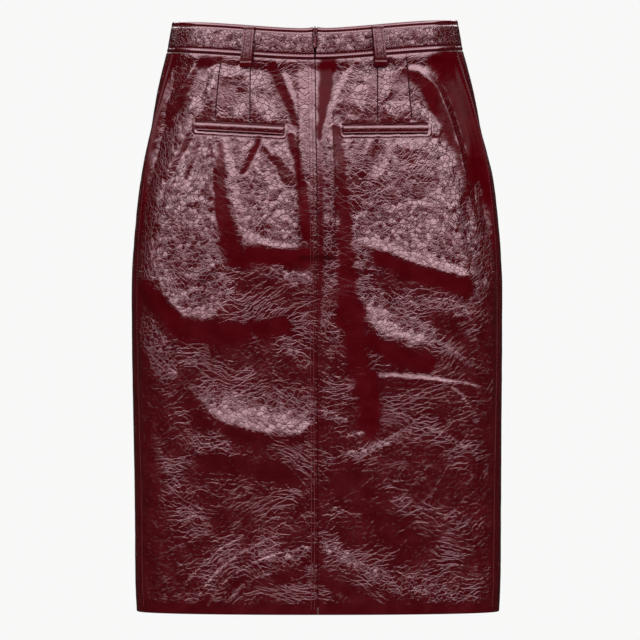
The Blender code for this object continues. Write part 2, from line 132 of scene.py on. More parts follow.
def seam_angle(z):
    """The angle of the side seam at +X at each height. The other side's mirrors it."""
    half_width, _, back, _, power = section(z)
    b = SEAM_BEHIND / back
    return np.arctan2((1 - b**power) ** (1 / power) * half_width, SEAM_BEHIND)


def waist_top(angle):
    """The height of the waistband's upper edge."""
    return WAIST_TOP - WAIST_DIP * np.cos(angle) ** 2 + WAIST_TILT * np.sin(angle)


def band_seam(angle):
    """The height of the seam under the waistband."""
    return waist_top(angle) - BAND_HEIGHT


def surface_points(angle, z, out, facing=None):
    """Points so far out from the smooth form, and its outward directions there or at the angles in facing."""
    x, y, nx, ny = outline(angle, z)
    if facing is not None:
        _, _, nx, ny = outline(facing, z)
    return stacked(x + nx * out, y + ny * out, z), stacked(nx, ny, 0 * nx)


# --- Noise on the leather, in its own flat coordinates ---


def hashed(ix, iy, seed):
    """A number from 0 to 1 for each pair of whole numbers."""
    h = (ix.astype(np.uint64) * np.uint64(374761393) + iy.astype(np.uint64) * np.uint64(668265263)
         + np.uint64(seed * 974634777 + 12345)) & np.uint64(0xFFFFFFFF)
    h = ((h ^ (h >> np.uint64(13))) * np.uint64(1274126177)) & np.uint64(0xFFFFFFFF)
    h = ((h ^ (h >> np.uint64(16))) * np.uint64(2246822519)) & np.uint64(0xFFFFFFFF)
    h = h ^ (h >> np.uint64(15))
    return h.astype(float) / 4294967296.0


def noise(x, y, seed):
    """Gradient noise from about -1 to 1, with one feature per unit."""
    shift = 1 << 20
    x0, y0 = np.floor(x).astype(np.int64), np.floor(y).astype(np.int64)
    fx, fy = x - x0, y - y0

    def corner(dx, dy):
        turn = hashed(x0 + dx + shift, y0 + dy + shift, seed) * 2 * np.pi
        return np.cos(turn) * (fx - dx) + np.sin(turn) * (fy - dy)

    u, v = fx * fx * fx * (fx * (fx * 6 - 15) + 10), fy * fy * fy * (fy * (fy * 6 - 15) + 10)
    low = corner(0, 0) * (1 - u) + corner(1, 0) * u
    high = corner(0, 1) * (1 - u) + corner(1, 1) * u
    return (low * (1 - v) + high * v) * 1.5


def layered(x, y, seed, octaves=3):
    total, size = 0.0, 1.0
    for k in range(octaves):
        total = total + noise(x * 2**k, y * 2**k, seed + 31 * k) * size
        size *= 0.5
    return total


def ridged(x, y, seed, sharp=2.0):
    """Narrow ridges, near 1 on a net of wandering lines and near 0 between them."""
    return np.clip(1 - np.abs(noise(x, y, seed)) * 1.6, 0, 1) ** sharp


# --- Folds ---

# The folds are given by the leather's lean. Each stroke is an area round a curve from start over bend to end,
# in millimetres across (x) and up (z), whose leather leans by lean degrees (up where it is above 0) and has
# this much of the usual crackle. first and last are the stroke's widths at its two ends. A later stroke lies
# over an earlier one.
Stroke = namedtuple("Stroke", "start bend end first last lean crackle")
BACK_STROKES = [Stroke(*row) for row in (
    # Beside the centre back.
    ((-8, -30), (-8, -160), (-8, -300), 12, 12, 0.8, 0.8),
    ((4, -30), (4, -160), (4, -300), 6, 6, -3, 0.25),
    # The left half above the pocket.
    ((-128, -26), (-142, -44), (-154, -64), 7, 6, 7, 0.4),
    ((-114, -27), (-135, -50), (-157, -86), 14, 11, -6, 0.28),
    ((-122, -62), (-136, -72), (-152, -84), 6, 6, 6, 0.7),
    ((-119, -40), (-124, -50), (-132, -60), 13, 10, -2, 0.9),
    ((-106, -35), (-114, -60), (-127, -78), 10, 9, 6, 1.0),
    ((-97, -33), (-84, -40), (-74, -30), 12, 10, 8, 1.0),
    ((-94, -50), (-86, -62), (-79, -76), 11, 8, -3, 0.9),
    ((-76, -64), (-78, -72), (-82, -80), 9, 9, 8, 1.0),
    ((-63, -36), (-61, -60), (-50, -80), 16, 18, 7, 1.0),
    ((-56, -58), (-50, -62), (-44, -70), 8, 8, 0, 1.0),
    ((-46, -31), (-34, -57), (-22, -90), 11, 12, -6, 0.15),
    ((-33, -38), (-20, -65), (-15, -98), 6, 6, 6, 0.4),
    # The left half below the pocket.
    ((-137, -120), (-142, -190), (-128, -262), 56, 62, 6.4, 1.0),
    ((-140, -92), (-154, -108), (-166, -132), 14, 14, 6, 0.9),
    ((-129, -92), (-139, -110), (-160, -146), 9, 6, -4, 0.5),
    ((-119, -103), (-116, -120), (-124, -142), 15, 14, 6, 1.0),
    ((-123, -98), (-128, -118), (-140, -150), 7, 5, -4, 0.5),
    ((-141, -150), (-143, -200), (-140, -256), 8, 10, 0.8, 0.9),
    ((-120, -150), (-118, -200), (-121, -252), 7, 7, -0.5, 0.9),
    ((-150, -160), (-152, -200), (-148, -235), 20, 24, 2.0, 1.1),
    ((-170, -120), (-177, -190), (-172, -252), 10, 12, 7, 0.8),
    ((-116, -138), (-112, -200), (-122, -272), 15, 17, 7, 0.9),
    ((-113, -107), (-111, -114), (-112, -124), 4, 4, -4, 0.3),
    ((-98, -108), (-109, -172), (-82, -236), 6, 26, -5, 0.16),
    ((-92, -106), (-86, -170), (-66, -214), 7, 11, 7.5, 0.6),
    ((-112, -248), (-95, -262), (-80, -250), 20, 20, 3, 1.2),
    ((-148, -270), (-130, -298), (-102, -276), 12, 12, 8, 0.8),
    ((-178, -258), (-160, -275), (-140, -300), 20, 20, -6, 0.10),
    ((-60, -108), (-40, -178), (-24, -206), 20, 48, 6.2, 1.0),
    ((-50, -112), (-42, -118), (-34, -128), 12, 10, 6, 0.9),
    ((-60, -104), (-66, -122), (-77, -140), 7, 6, -5, 0.15),
    ((-52, -116), (-42, -130), (-26, -152), 8, 14, -3, 0.7),
    ((-28, -104), (-13, -140), (-11, -216), 8, 11, -4, 0.12),
    ((-58, -206), (-34, -218), (-12, -214), 9, 9, 9, 0.6),
    ((-134, -302), (-90, -308), (-38, -298), 26, 24, -6, 0.16),
    ((-84, -246), (-58, -258), (-18, -272), 20, 22, -4, 0.45),
    ((-66, -224), (-38, -230), (-12, -226), 18, 20, -6, 0.10),
    ((-40, -240), (-26, -246), (-10, -250), 12, 12, 4, 1.0),
    ((-121, -104), (-121, -112), (-122, -122), 5, 3, 9, 0.6),
    ((-105, -105), (-104, -112), (-103, -120), 3, 3, -5, 0.3),
    ((-95, -104), (-94, -114), (-93, -126), 6, 5, 9, 0.6),
    ((-87, -105), (-87, -112), (-88, -120), 3, 2, -5, 0.3),
    ((-76, -104), (-76, -112), (-78, -120), 6, 3, 9, 0.6),
    ((-54, -104), (-50, -112), (-46, -120), 8, 4, 9, 0.6),
    # The left thigh and knee.
    ((-178, -290), (-168, -312), (-154, -342), 22, 28, 4, 1.1),
    ((-32, -312), (-26, -322), (-14, -334), 14, 16, 3.5, 1.0),
    ((-130, -350), (-90, -338), (-40, -352), 30, 34, 0.3, 1.2),
    ((-112, -366), (-74, -384), (-20, -380), 26, 44, 5.0, 1.0),
    ((-100, -378), (-68, -394), (-26, -394), 24, 36, 10.0, 0.7),
    ((-132, -378), (-88, -418), (-18, -414), 12, 14, -5, 0.35),
    ((-134, -412), (-112, -420), (-94, -424), 24, 20, 2.5, 1.2),
    ((-146, -440), (-136, -476), (-120, -502), 26, 30, 2.8, 1.2),
    ((-112, -436), (-70, -442), (-30, -450), 24, 26, -4, 0.3),
    ((-60, -508), (-40, -504), (-14, -496), 22, 22, 1.2, 1.2),
    ((-48, -512), (-92, -532), (-130, -578), 26, 22, 2.0, 1.2),
    ((-60, -530), (-38, -536), (-12, -526), 14, 14, 5, 1.0),
    ((-80, -560), (-50, -560), (-16, -552), 14, 14, -4, 0.4),
    # Thin folds in the left half: down from the knee, and nested ones above the hem.
    ((-66, -304), (-54, -318), (-46, -338), 3, 3, 5, 0.3),
    ((-120, -376), (-104, -398), (-86, -420), 3, 3, 4, 0.5),
    ((-140, -572), (-126, -532), (-72, -508), 4, 3, 8, 0.4),
    ((-126, -580), (-110, -540), (-54, -514), 4, 3, 8, 0.4),
    ((-112, -582), (-98, -546), (-38, -526), 4, 3, 8, 0.4),
    ((-96, -584), (-82, -552), (-16, -538), 4, 3, 7, 0.4),
    # The right half above the pocket.
    ((11, -22), (9, -56), (4, -104), 18, 9, -6, 0.02),
    ((50, -28), (46, -50), (40, -78), 16, 16, 3, 1.0),
    ((24, -58), (18, -76), (15, -100), 8, 6, -2, 0.5),
    ((36, -26), (13, -64), (7, -108), 6, 5, 8, 0.5),
    ((28, -72), (40, -78), (52, -85), 10, 9, -3, 0.8),
    ((55, -62), (58, -74), (56, -84), 9, 8, -3, 0.9),
    ((74, -32), (71, -46), (70, -58), 10, 12, 5, 1.0),
    ((84, -36), (84, -50), (78, -66), 9, 8, -3, 0.8),
    ((76, -72), (84, -76), (94, -70), 12, 10, 3.5, 1.0),
    ((102, -70), (108, -76), (118, -82), 9, 9, 3.0, 1.0),
    ((130, -24), (158, -70), (176, -160), 28, 26, -6, 0.03),
    ((96, -38), (142, -66), (166, -196), 15, 13, -5, 0.08),
    ((118, -56), (142, -84), (154, -150), 18, 24, -6, 0.08),
    ((98, -30), (150, -34), (173, -206), 8, 6, 8, 0.2),
    ((172, -150), (178, -200), (176, -250), 5, 6, 6, 0.6),
    # The right half below the pocket.
    ((7, -108), (17, -170), (9, -300), 8, 12, 6.5, 0.8),
    ((122, -88), (128, -90), (126, -98), 12, 10, 8, 0.8),
    ((122, -102), (132, -104), (136, -100), 4, 4, -6, 0.2),
    ((84, -118), (96, -126), (112, -124), 14, 12, -3, 0.5),
    ((50, -150), (70, -165), (100, -160), 36, 36, 0.2, 1.2),
    ((56, -114), (44, -134), (37, -176), 20, 16, -3, 0.6),
    ((76, -102), (78, -122), (60, -142), 8, 8, 7, 0.6),
    ((132, -112), (142, -140), (140, -180), 20, 34, 5.8, 1.0),
    ((31, -103), (31, -108), (30, -114), 5, 3, 9, 0.6),
    ((37, -104), (37, -110), (36, -116), 4, 3, -5, 0.3),
    ((56, -103), (54, -110), (50, -120), 5, 3, 9, 0.6),
    ((64, -104), (62, -112), (58, -124), 4, 3, -6, 0.3),
    ((81, -104), (80, -112), (80, -122), 4, 3, -5, 0.3),
    ((87, -103), (87, -108), (88, -114), 5, 3, 9, 0.6),
    ((98, -103), (98, -110), (99, -120), 5, 3, 9, 0.6),
    ((104, -104), (105, -110), (106, -118), 4, 3, -5, 0.3),
    ((110, -103), (111, -110), (113, -118), 5, 3, 9, 0.6),
    ((60, -200), (110, -188), (160, -206), 40, 62, 5.0, 1.0),
    ((108, -132), (114, -146), (106, -164), 12, 14, -1, 1.1),
    ((48, -206), (100, -224), (164, -246), 11, 11, 9, 0.7),
    ((20, -96), (32, -190), (31, -292), 9, 23, -5, 0.14),
    ((64, -226), (104, -248), (152, -256), 14, 20, -7, 0.12),
    ((46, -226), (48, -240), (50, -262), 10, 12, 3, 1.0),
    ((164, -220), (170, -244), (166, -268), 16, 14, 5, 0.9),
    ((66, -268), (116, -272), (166, -280), 12, 16, 2.4, 1.2),
    ((90, -290), (120, -292), (150, -296), 12, 14, -3, 0.7),
    ((58, -276), (80, -286), (112, -304), 34, 26, 5.0, 1.0),
    ((54, -278), (66, -296), (98, -308), 24, 18, 10.0, 0.7),
    ((16, -300), (20, -312), (14, -326), 10, 9, 3.5, 0.9),
    ((40, -282), (36, -310), (42, -338), 22, 22, -5, 0.16),
    ((56, -312), (85, -332), (112, -334), 18, 20, -7, 0.14),
    ((115, -304), (146, -330), (174, -342), 6, 6, 4, 1.0),
    ((64, -354), (108, -354), (168, -368), 10, 10, -4, 0.6),
    ((50, -345), (105, -343), (168, -357), 7, 3.5, 10, 0.2),
    ((49, -350), (55, -374), (52, -402), 26, 24, -5, 0.16),
    ((138, -358), (153, -366), (167, -388), 4.5, 4.5, 9, 0.2),
    ((80, -384), (115, -400), (150, -420), 8, 8, 3.0, 1.1),
    ((5, -384), (18, -390), (28, -392), 8, 8, 4.5, 1.0),
    ((22, -405), (34, -409), (46, -405), 8, 7, 3.5, 1.0),
    ((34, -428), (66, -421), (92, -402), 12, 9, 4.5, 1.0),
    ((4, -424), (14, -432), (22, -442), 9, 8, 3.5, 1.0),
    ((30, -452), (60, -480), (84, -512), 44, 44, -3.5, 0.3),
    ((83, -474), (113, -484), (146, -494), 18, 20, 1.6, 1.2),
    ((74, -472), (92, -462), (112, -450), 5, 5, 3, 0.8),
    ((4, -476), (20, -484), (44, -490), 5, 4, 3, 0.8),
    ((30, -516), (70, -528), (100, -520), 16, 16, -3, 0.4),
    ((3, -514), (40, -544), (84, -562), 12, 20, 5, 1.1),
    ((80, -560), (112, -556), (148, -578), 26, 26, 3, 1.2),
    ((8, -556), (30, -568), (56, -580), 14, 12, -4, 0.3),
)]
FRONT_STROKES = [Stroke(*row) for row in (
    ((-40, -40), (20, -60), (70, -36), 26, 30, 5, 1.0),
    ((-96, -30), (-120, -90), (-160, -150), 14, 20, -4, 0.3),
    ((-84, -34), (-106, -92), (-144, -158), 7, 9, 7, 0.6),
    ((92, -40), (130, -90), (152, -170), 14, 18, -5, 0.2),
    ((104, -30), (146, -80), (164, -170), 7, 8, 7, 0.6),
    ((-130, -180), (-30, -226), (90, -182), 44, 50, 5, 1.0),
    ((-60, -120), (-10, -132), (40, -116), 20, 16, -2, 0.8),
    ((-140, -226), (-20, -268), (110, -222), 18, 20, -6, 0.10),
    ((100, -212), (130, -232), (164, -234), 22, 20, 6, 0.9),
    ((-164, -262), (-140, -300), (-96, -312), 24, 22, 5, 1.0),
    ((-150, -312), (-100, -334), (-40, -322), 16, 18, -5, 0.15),
    ((10, -300), (66, -330), (140, -304), 24, 26, 5.5, 1.0),
    ((0, -336), (70, -366), (150, -338), 14, 16, -5, 0.15),
    ((-60, -360), (-10, -376), (40, -366), 20, 20, 1.0, 1.2),
    ((-140, -398), (-90, -428), (-20, -412), 26, 24, 6, 0.9),
    ((-150, -436), (-90, -458), (-10, -440), 14, 16, -5, 0.3),
    ((60, -424), (106, -440), (156, -420), 16, 18, 4, 1.1),
    ((20, -470), (80, -492), (130, -476), 24, 24, -4, 0.3),
    ((-120, -500), (-60, -520), (10, -506), 22, 22, 2.5, 1.2),
    ((30, -530), (90, -548), (150, -566), 18, 22, 4, 1.1),
    ((-140, -556), (-90, -570), (-30, -560), 16, 14, -4, 0.3),
)]
RELIEF_STEP = 1.5 * MM
RELIEF_HALF_WIDTH = 193.5 * MM
ACROSS_WEIGHT = 0.06  # of evenness across the skirt against the leans that the strokes ask for
LONG_WAVE = 90 * MM  # leans that last for longer than this are evened out
UPPER_LEAN, LOWER_LEAN = 1.4, -1.6  # degrees, between the strokes of the upper and of the lower part
UPPER_FADES = (215 * MM, 285 * MM)  # the depths between which the upper part turns into the lower one
WAIST_LESS = 4.5  # how many degrees less the lean is above the pockets
WAIST_FADES = (-105 * MM, -80 * MM)
SMOOTH_CRACKLE = 0.3  # leather that leans down and has less crackle than this is quite smooth
SMOOTH_GLOSS, CRACKLE_GLOSS = 0.03, 2.4  # the gloss of such leather, and what crackle adds, against 1
UP_LEANS = 1.12  # all leans up are raised by this factor
STEADY_BELOW = 30.0  # strokes whose two widths add up to less than this wander less
CENTRE_CALM = 5 * MM
SIDE_CALM = 12 * MM
WAIST_CALM = 14 * MM

Relief = namedtuple("Relief", "x z rise crackle lines gloss")


def stroke_mask(x, z, stroke, steps=20):
    """Near 1 inside the stroke and 0 outside it."""
    t = np.linspace(0, 1, steps)[:, None]
    start, bend, end = (np.array(p, float) * MM for p in (stroke.start, stroke.bend, stroke.end))
    curve = start * (1 - t) ** 2 + bend * 2 * t * (1 - t) + end * t**2
    best, above = np.full(x.shape, np.inf), np.zeros_like(x)
    for i in range(steps - 1):
        run = curve[i + 1] - curve[i]
        share = np.clip(((x - curve[i, 0]) * run[0] + (z - curve[i, 1]) * run[1]) / (run @ run), 0, 1)
        off_x, off_z = x - curve[i, 0] - run[0] * share, z - curve[i, 1] - run[1] * share
        gap = np.hypot(off_x, off_z)
        half = (stroke.first + (stroke.last - stroke.first) * (i + share) / (steps - 1)) * MM / 2
        nearer = gap / half < best
        best = np.where(nearer, gap / half, best)
        above = np.where(nearer, off_z / (gap + 1e-6), above)
    # Leather that leans up grows out of what is above it and ends in a crisp crest below. Leather that leans
    # down is the other way round.
    soft = np.clip(above * (1 if stroke.lean > 2 else -1), 0, 1)
    return 1 - smoothstep(best, 0.72 - 0.48 * soft, 1.28 + 0.32 * soft)


def sine_table(count):
    """The sine transform of this many values, as a table that is its own inverse."""
    k = np.arange(1, count + 1)
    return np.sin(np.pi * np.outer(k, k) / (count + 1)) * math.sqrt(2 / (count + 1))


def own_slope(x, z, is_front):
    """How much the smooth form leans up at each point, as a slope, and how squarely it faces out there."""
    half_width, shift, back, front, power = section(z)
    depth = front if is_front else back
    a = np.clip(np.abs(x - shift) / half_width, 0, 0.97)
    b = (1 - a**power) ** (1 / power)
    across, along = a ** (power - 1) / half_width, b ** (power - 1) / depth
    facing = along / np.hypot(across, along)
    return -np.gradient(depth * b, RELIEF_STEP, axis=0) * facing, np.clip(facing, 0.5, 1)


def make_relief(strokes, is_front):
    """The leather's rise, 0 at every edge, whose leans come nearest to the strokes' by least squares."""
    across = np.arange(-RELIEF_HALF_WIDTH, RELIEF_HALF_WIDTH + RELIEF_STEP, RELIEF_STEP)
    up = np.arange(HEM, band_seam(np.pi / 2), RELIEF_STEP)
    x, z = np.meshgrid(across, up)
    seed = 500 if is_front else 300
    wx = x + layered(x / 0.020, z / 0.020, seed, 3) * 2.6 * MM
    wx += noise(x / 0.005, z / 0.006, seed + 4) * 1.1 * MM
    wz = z + layered(x / 0.018, z / 0.015, seed + 9, 3) * 2.2 * MM
    wz += noise(x / 0.006, z / 0.004, seed + 5) * 1.2 * MM
    own_lean, facing = own_slope(x, z, is_front)
    upper = 1 - smoothstep(-z, *UPPER_FADES)
    lean = LOWER_LEAN + (UPPER_LEAN - LOWER_LEAN) * upper - WAIST_LESS * smoothstep(z, *WAIST_FADES)
    crackle, gloss = np.ones_like(x), np.ones_like(x)
    for stroke in strokes:
        sway = min(1.0, (stroke.first + stroke.last) / STEADY_BELOW)
        mask = stroke_mask(x + (wx - x) * sway, z + (wz - z) * sway, stroke)
        lean += (stroke.lean - lean) * mask
        crackle += (stroke.crackle - crackle) * mask
        smooth = stroke.lean < 0 and stroke.crackle < SMOOTH_CRACKLE
        own_gloss = SMOOTH_GLOSS + CRACKLE_GLOSS * stroke.crackle if smooth else 1.0
        gloss += (own_gloss - gloss) * mask
    lean = np.where(lean > 0, lean * UP_LEANS, lean)
    wanted = own_lean - np.tan(np.radians(lean)) / facing
    source = -np.gradient(wanted, up, axis=0)
    rows, columns = sine_table(len(up)), sine_table(len(across))
    wave_z = np.pi * np.arange(1, len(up) + 1) / ((len(up) + 1) * RELIEF_STEP)
    wave_x = np.pi * np.arange(1, len(across) + 1) / ((len(across) + 1) * RELIEF_STEP)
    weight = wave_z[:, None] ** 2 + ACROSS_WEIGHT * wave_x[None, :] ** 2 + (1 / LONG_WAVE) ** 2
    rise = rows @ ((rows @ source @ columns) / weight) @ columns
    # Cells show where the leather is stretched over the hips and on crests, and long lines elsewhere.
    lit = smoothstep((lean + 2.7 * upper) / 5.2, 0.23, 1.23)
    return Relief(across, up, rise, crackle * (0.25 + 0.75 * lit), crackle**0.6 * (1 - 0.7 * lit), gloss)


def read_relief(relief, field, x, z):
    """The field at each point, between the four nearest places of its grid."""
    fx = np.clip((x - relief.x[0]) / RELIEF_STEP, 0, len(relief.x) - 1.001)
    fz = np.clip((z - relief.z[0]) / RELIEF_STEP, 0, len(relief.z) - 1.001)
    i, j = fx.astype(int), fz.astype(int)
    u, v = fx - i, fz - j
    return (field[j, i] * (1 - u) * (1 - v) + field[j, i + 1] * u * (1 - v)
            + field[j + 1, i] * (1 - u) * v + field[j + 1, i + 1] * u * v)


# --- Making meshes ---


def mesh_object(name, points, parts, closed=True):
    """A smooth mesh from arrays of faces, one for each number of corners, turned outward if it is closed."""
    volume = sum(
        np.sum(points[faces[:, 0]] * np.cross(points[faces[:, k]], points[faces[:, k + 1]]))
        for faces in parts for k in range(1, faces.shape[1] - 1)
    )
    if closed and volume < 0:
        parts = [faces[:, ::-1] for faces in parts]
    mesh = bpy.data.meshes.new(name)
    mesh.from_pydata(points, [], [face for faces in parts for face in faces.tolist()], shade_flat=False)
    mesh.validate()
    obj = bpy.data.objects.new(name, mesh)
    bpy.context.scene.collection.objects.link(obj)
    return obj


def grid_faces(rows, columns, first=0):
    """Quads of a grid of points, row by row."""
    a = first + np.arange(rows * columns).reshape(rows, columns)
    return stacked(a[:-1, :-1], a[:-1, 1:], a[1:, 1:], a[1:, :-1]).reshape(-1, 4)


def grid_rim(rows, columns):
    """The grid's outermost points, once round."""
    index = np.arange(rows * columns).reshape(rows, columns)
    return np.concatenate([index[0, :-1], index[:-1, -1], index[-1, :0:-1], index[:0:-1, 0]])


COARSER = 3  # the inner side of a shell keeps every third row and column


def shell_object(name, outer, inner):
    """A closed shell between a grid of points and the coarser grid behind it."""
    rows, columns = outer.shape[:2]
    inner = inner[::COARSER, ::COARSER]
    count = rows * columns
    rim, back = grid_rim(rows, columns), grid_rim(*inner.shape[:2]) + count
    steps = [np.roll(rim, -k)[::COARSER] for k in range(COARSER + 1)]
    ahead = np.roll(back, -1)
    triangles = np.concatenate([
        stacked(back, steps[1], steps[0]), stacked(back, steps[2], steps[1]),
        stacked(back, ahead, steps[2]), stacked(ahead, steps[3], steps[2]),
    ])
    behind = grid_faces(*inner.shape[:2], first=count)[:, ::-1]
    points = np.concatenate([outer.reshape(-1, 3), inner.reshape(-1, 3)])
    return mesh_object(name, points, [grid_faces(rows, columns), behind, triangles])


def loft_object(name, rings):
    """A closed solid through rings of points, with its first and last ring filled."""
    count, corners = rings.shape[:2]
    index = np.arange(count * corners).reshape(count, corners)
    a, b = index[:-1], index[1:]
    sides = stacked(a, np.roll(a, -1, 1), np.roll(b, -1, 1), b).reshape(-1, 4)
    first, last = (np.full(corners, count * corners + k) for k in range(2))
    caps = np.concatenate([
        stacked(first, np.roll(index[0], -1), index[0]), stacked(last, index[-1], np.roll(index[-1], -1)),
    ])
    points = np.concatenate([rings.reshape(-1, 3), rings[:1].mean(axis=1), rings[-1:].mean(axis=1)])
    return mesh_object(name, points, [sides, caps])


def copies_object(name, copies, *parts):
    """Copies of one small shape, given as a row of points for each copy and the faces of the first."""
    first = (np.arange(len(copies)) * copies.shape[1])[:, None, None]
    parts = [(faces + first).reshape(-1, faces.shape[1]) for faces in parts]
    return mesh_object(name, copies.reshape(-1, 3), parts)


def add_attribute(obj, name, values, default=0.0):
    """Stores a number for each of the first points of a piece, and the default for the others."""
    layer = obj.data.attributes.new(name, "FLOAT", "POINT")
    full = np.full(len(obj.data.vertices), default, np.float32)
    flat = np.asarray(values, np.float32).ravel()
    full[: len(flat)] = flat
    layer.data.foreach_set("value", full)


# What each leather piece was cut to: width, length, how it is held, and its area if it isn't a rectangle
CUTS = {
    "back": (0.216, 0.580, "hung", 0.117),
    "front": (0.558, 0.580, "hung", 0.309),
    "band_back": (0.163, 0.032, "hung", None),
    "band_front": (0.470, 0.032, "hung", None),
    "loop": (0.0125, 0.0435, "folded", None),
    "welt": (0.0925, 0.0110, "folded", None),
}


def cut(kind):
    """Looks up a leather piece's size in CUTS, and does nothing more with it."""
    width, length, held, area = CUTS[kind]


def dress(obj, material, node=None):
    """Gives a piece its material, the CAD node that it replaces and its body."""
    obj.data.materials.append(material)
    if node:
        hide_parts(node)
    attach(obj, "skirt")
    return obj


# The stitches: a short thread that dives at both ends, drawn along X with Z away from the leather
STITCH_LENGTH = 2.3 * MM
STITCH_WIDTH = 0.55 * MM
STITCH_HEIGHT = 0.50 * MM
STITCH_PITCH = 3.0 * MM
STITCH_SIDES = 6


def stitch_template():
    """The points, quads and triangles of one stitch, of length, width and height 1."""
    points = [(-0.5, 0.0, -0.7)]
    for along, size, lift in ((-0.40, 0.75, -0.15), (0.0, 1.0, 0.35), (0.40, 0.75, -0.15)):
        for k in range(STITCH_SIDES):
            turn = 2 * math.pi * k / STITCH_SIDES
            points.append((along, 0.5 * size * math.cos(turn), lift + 0.5 * size * math.sin(turn)))
    points.append((0.5, 0.0, -0.7))
    last = len(points) - 1
    near = 1 + np.arange(STITCH_SIDES)
    middle, far = near + STITCH_SIDES, near + 2 * STITCH_SIDES
    triangles = np.concatenate([
        stacked(0 * near, np.roll(near, -1), near), stacked(0 * far + last, far, np.roll(far, -1)),
    ])
    quads = np.concatenate([
        stacked(row, np.roll(row, -1), np.roll(row, -1) + STITCH_SIDES, row + STITCH_SIDES)
        for row in (near, middle)
    ])
    return np.array(points), quads, triangles


def stitches_object(name, rows):
    """Stitches along rows, each given as its points and the directions away from the leather."""
    shape, quads, triangles = stitch_template()
    shape = shape * (STITCH_LENGTH, STITCH_WIDTH, STITCH_HEIGHT)
    placed = []
    for points, normals in rows:
        arc = np.concatenate([[0], np.cumsum(np.linalg.norm(np.diff(points, axis=0), axis=1))])
        middles = np.arange(STITCH_PITCH, arc[-1] - STITCH_PITCH, STITCH_PITCH)

        def read(values, at, arc=arc):
            return stacked(*(np.interp(at, arc, values[:, k]) for k in range(3)))

        ahead = read(points, middles + STITCH_LENGTH / 2) - read(points, middles - STITCH_LENGTH / 2)
        ahead /= np.linalg.norm(ahead, axis=1, keepdims=True)
        beside = np.cross(read(normals, middles), ahead)
        beside /= np.linalg.norm(beside, axis=1, keepdims=True)
        axes = np.stack([ahead, beside, np.cross(ahead, beside)], axis=1)
        placed.append(read(points, middles)[:, None, :] + shape @ axes)
    return copies_object(name, np.concatenate(placed), quads, triangles)


# --- Panels ---

# Darts of the back: x and z of the upper and the lower end, in millimetres
DARTS = [
    ((-99.3, -24.0), (-106.5, -83.0)),
    ((-68.4, -24.0), (-69.6, -86.5)),
    ((62.2, -24.0), (63.2, -88.0)),
    ((92.4, -23.0), (99.7, -84.5)),
]
# Welts of the back pockets: x and z of the upper edge's two ends, in millimetres
Welt = namedtuple("Welt", "name start end")
WELTS = [Welt("left", (-127, -87), (-34.5, -92.5)), Welt("right", (27, -91.5), (117, -90))]
WELT_HEIGHT = 8.6  # in millimetres, as are the lengths of pocket_shape
FRAME_OFF = 2.5  # from the welt out to the raised line round it
FRAME_ROW = 1.9  # and from that line out to the stitches
FRAME_HEIGHT, FRAME_WIDTH = 0.55, 1.15  # of the raised line
MOUTH_DEPTH, MOUTH_WIDTH = 1.1, 0.8
SIDE_ROW = 2.3 * MM  # the stitches of the side seams lie this far from them
CENTRE_ROWS = (3.6 * MM, 6.7 * MM)  # and those of the left half this far from the centre back
EDGE_STEPS = np.array([0.0, 0.25, 0.6, 1.05, 1.6, 2.3, 3.2]) * MM  # from an edge, where it rolls over
FAR = 10.0  # distances to rows and darts are kept within so many millimetres and raised by them, so 0 is far
NOWHERE = 99.0  # a distance in millimetres that is past FAR


def edge_spaced(length, step):
    """Places along a length: fine at both ends, about even between, and so many that a coarser grid fits."""
    inner = length - 2 * EDGE_STEPS[-1]
    count = int(round(inner / step)) + 1
    while (count + 2 * len(EDGE_STEPS) - 3) % COARSER:
        count += 1
    middle = np.linspace(EDGE_STEPS[-1], length - EDGE_STEPS[-1], count)
    return np.concatenate([EDGE_STEPS[:-1], middle, (length - EDGE_STEPS[:-1])[::-1]])


def limits(piece, z, centre_gap=SEAM_GAP):
    """The angles at which a piece starts and ends at height z."""
    half_width, _, back, _, _ = section(z)
    seam, centre, side = seam_angle(z), centre_gap / 2 / back, SEAM_GAP / 2 / half_width
    return {
        "back_right": (centre, seam - side),
        "back_left": (-seam + side, -centre),
        "front": (seam + side, 2 * np.pi - seam - side),
    }[piece]


def angles_along(first, last, z, fractions, samples=260):
    """Angles at even shares of the arc between first and last at each height, and each arc's length."""
    share = np.linspace(0, 1, samples)
    angle = first[:, None] + (last - first)[:, None] * share[None, :]
    x, y, _, _ = outline(angle, np.repeat(z[:, None], samples, axis=1))
    step = np.hypot(np.diff(x, axis=1), np.diff(y, axis=1))
    arc = np.concatenate([np.zeros((len(z), 1)), np.cumsum(step, axis=1)], axis=1)
    length = arc[:, -1]
    return np.stack([np.interp(fractions * length[i], arc[i], angle[i]) for i in range(len(z))]), length


Wrap = namedtuple("Wrap", "angle z s from_start from_end")


def wrap_grid(piece, low, high, step_across, step_up):
    """Angles and heights over a panel, and each point's distances along the leather from the centre line (s)
    and from the panel's two side edges."""
    length_up = float(high(0.0) - low(0.0))
    v = edge_spaced(length_up, step_up) / length_up
    z_mid = float(low(0.0)) + v * length_up
    first, last = limits(piece, z_mid)
    typical = angles_along(first, last, z_mid, np.array([0.0, 1.0]))[1].mean()
    u = edge_spaced(typical, step_across) / typical
    angle, length = angles_along(first, last, z_mid, u)
    z = low(angle) + (high(angle) - low(angle)) * v[:, None]
    along = u[None, :] * length[:, None]
    s = {"back_right": along, "back_left": along - length[:, None],
         "front": along - length[:, None] / 2}[piece]
    return Wrap(angle, z, s, along, length[:, None] - along)


def rolled_edge(distance, radius):
    """How far an edge with a round of this radius has dropped at a distance from it."""
    d = np.clip(distance / radius, 0, 1)
    return radius * (1 - np.sqrt(np.clip(1 - (1 - d) ** 2, 0, 1)))


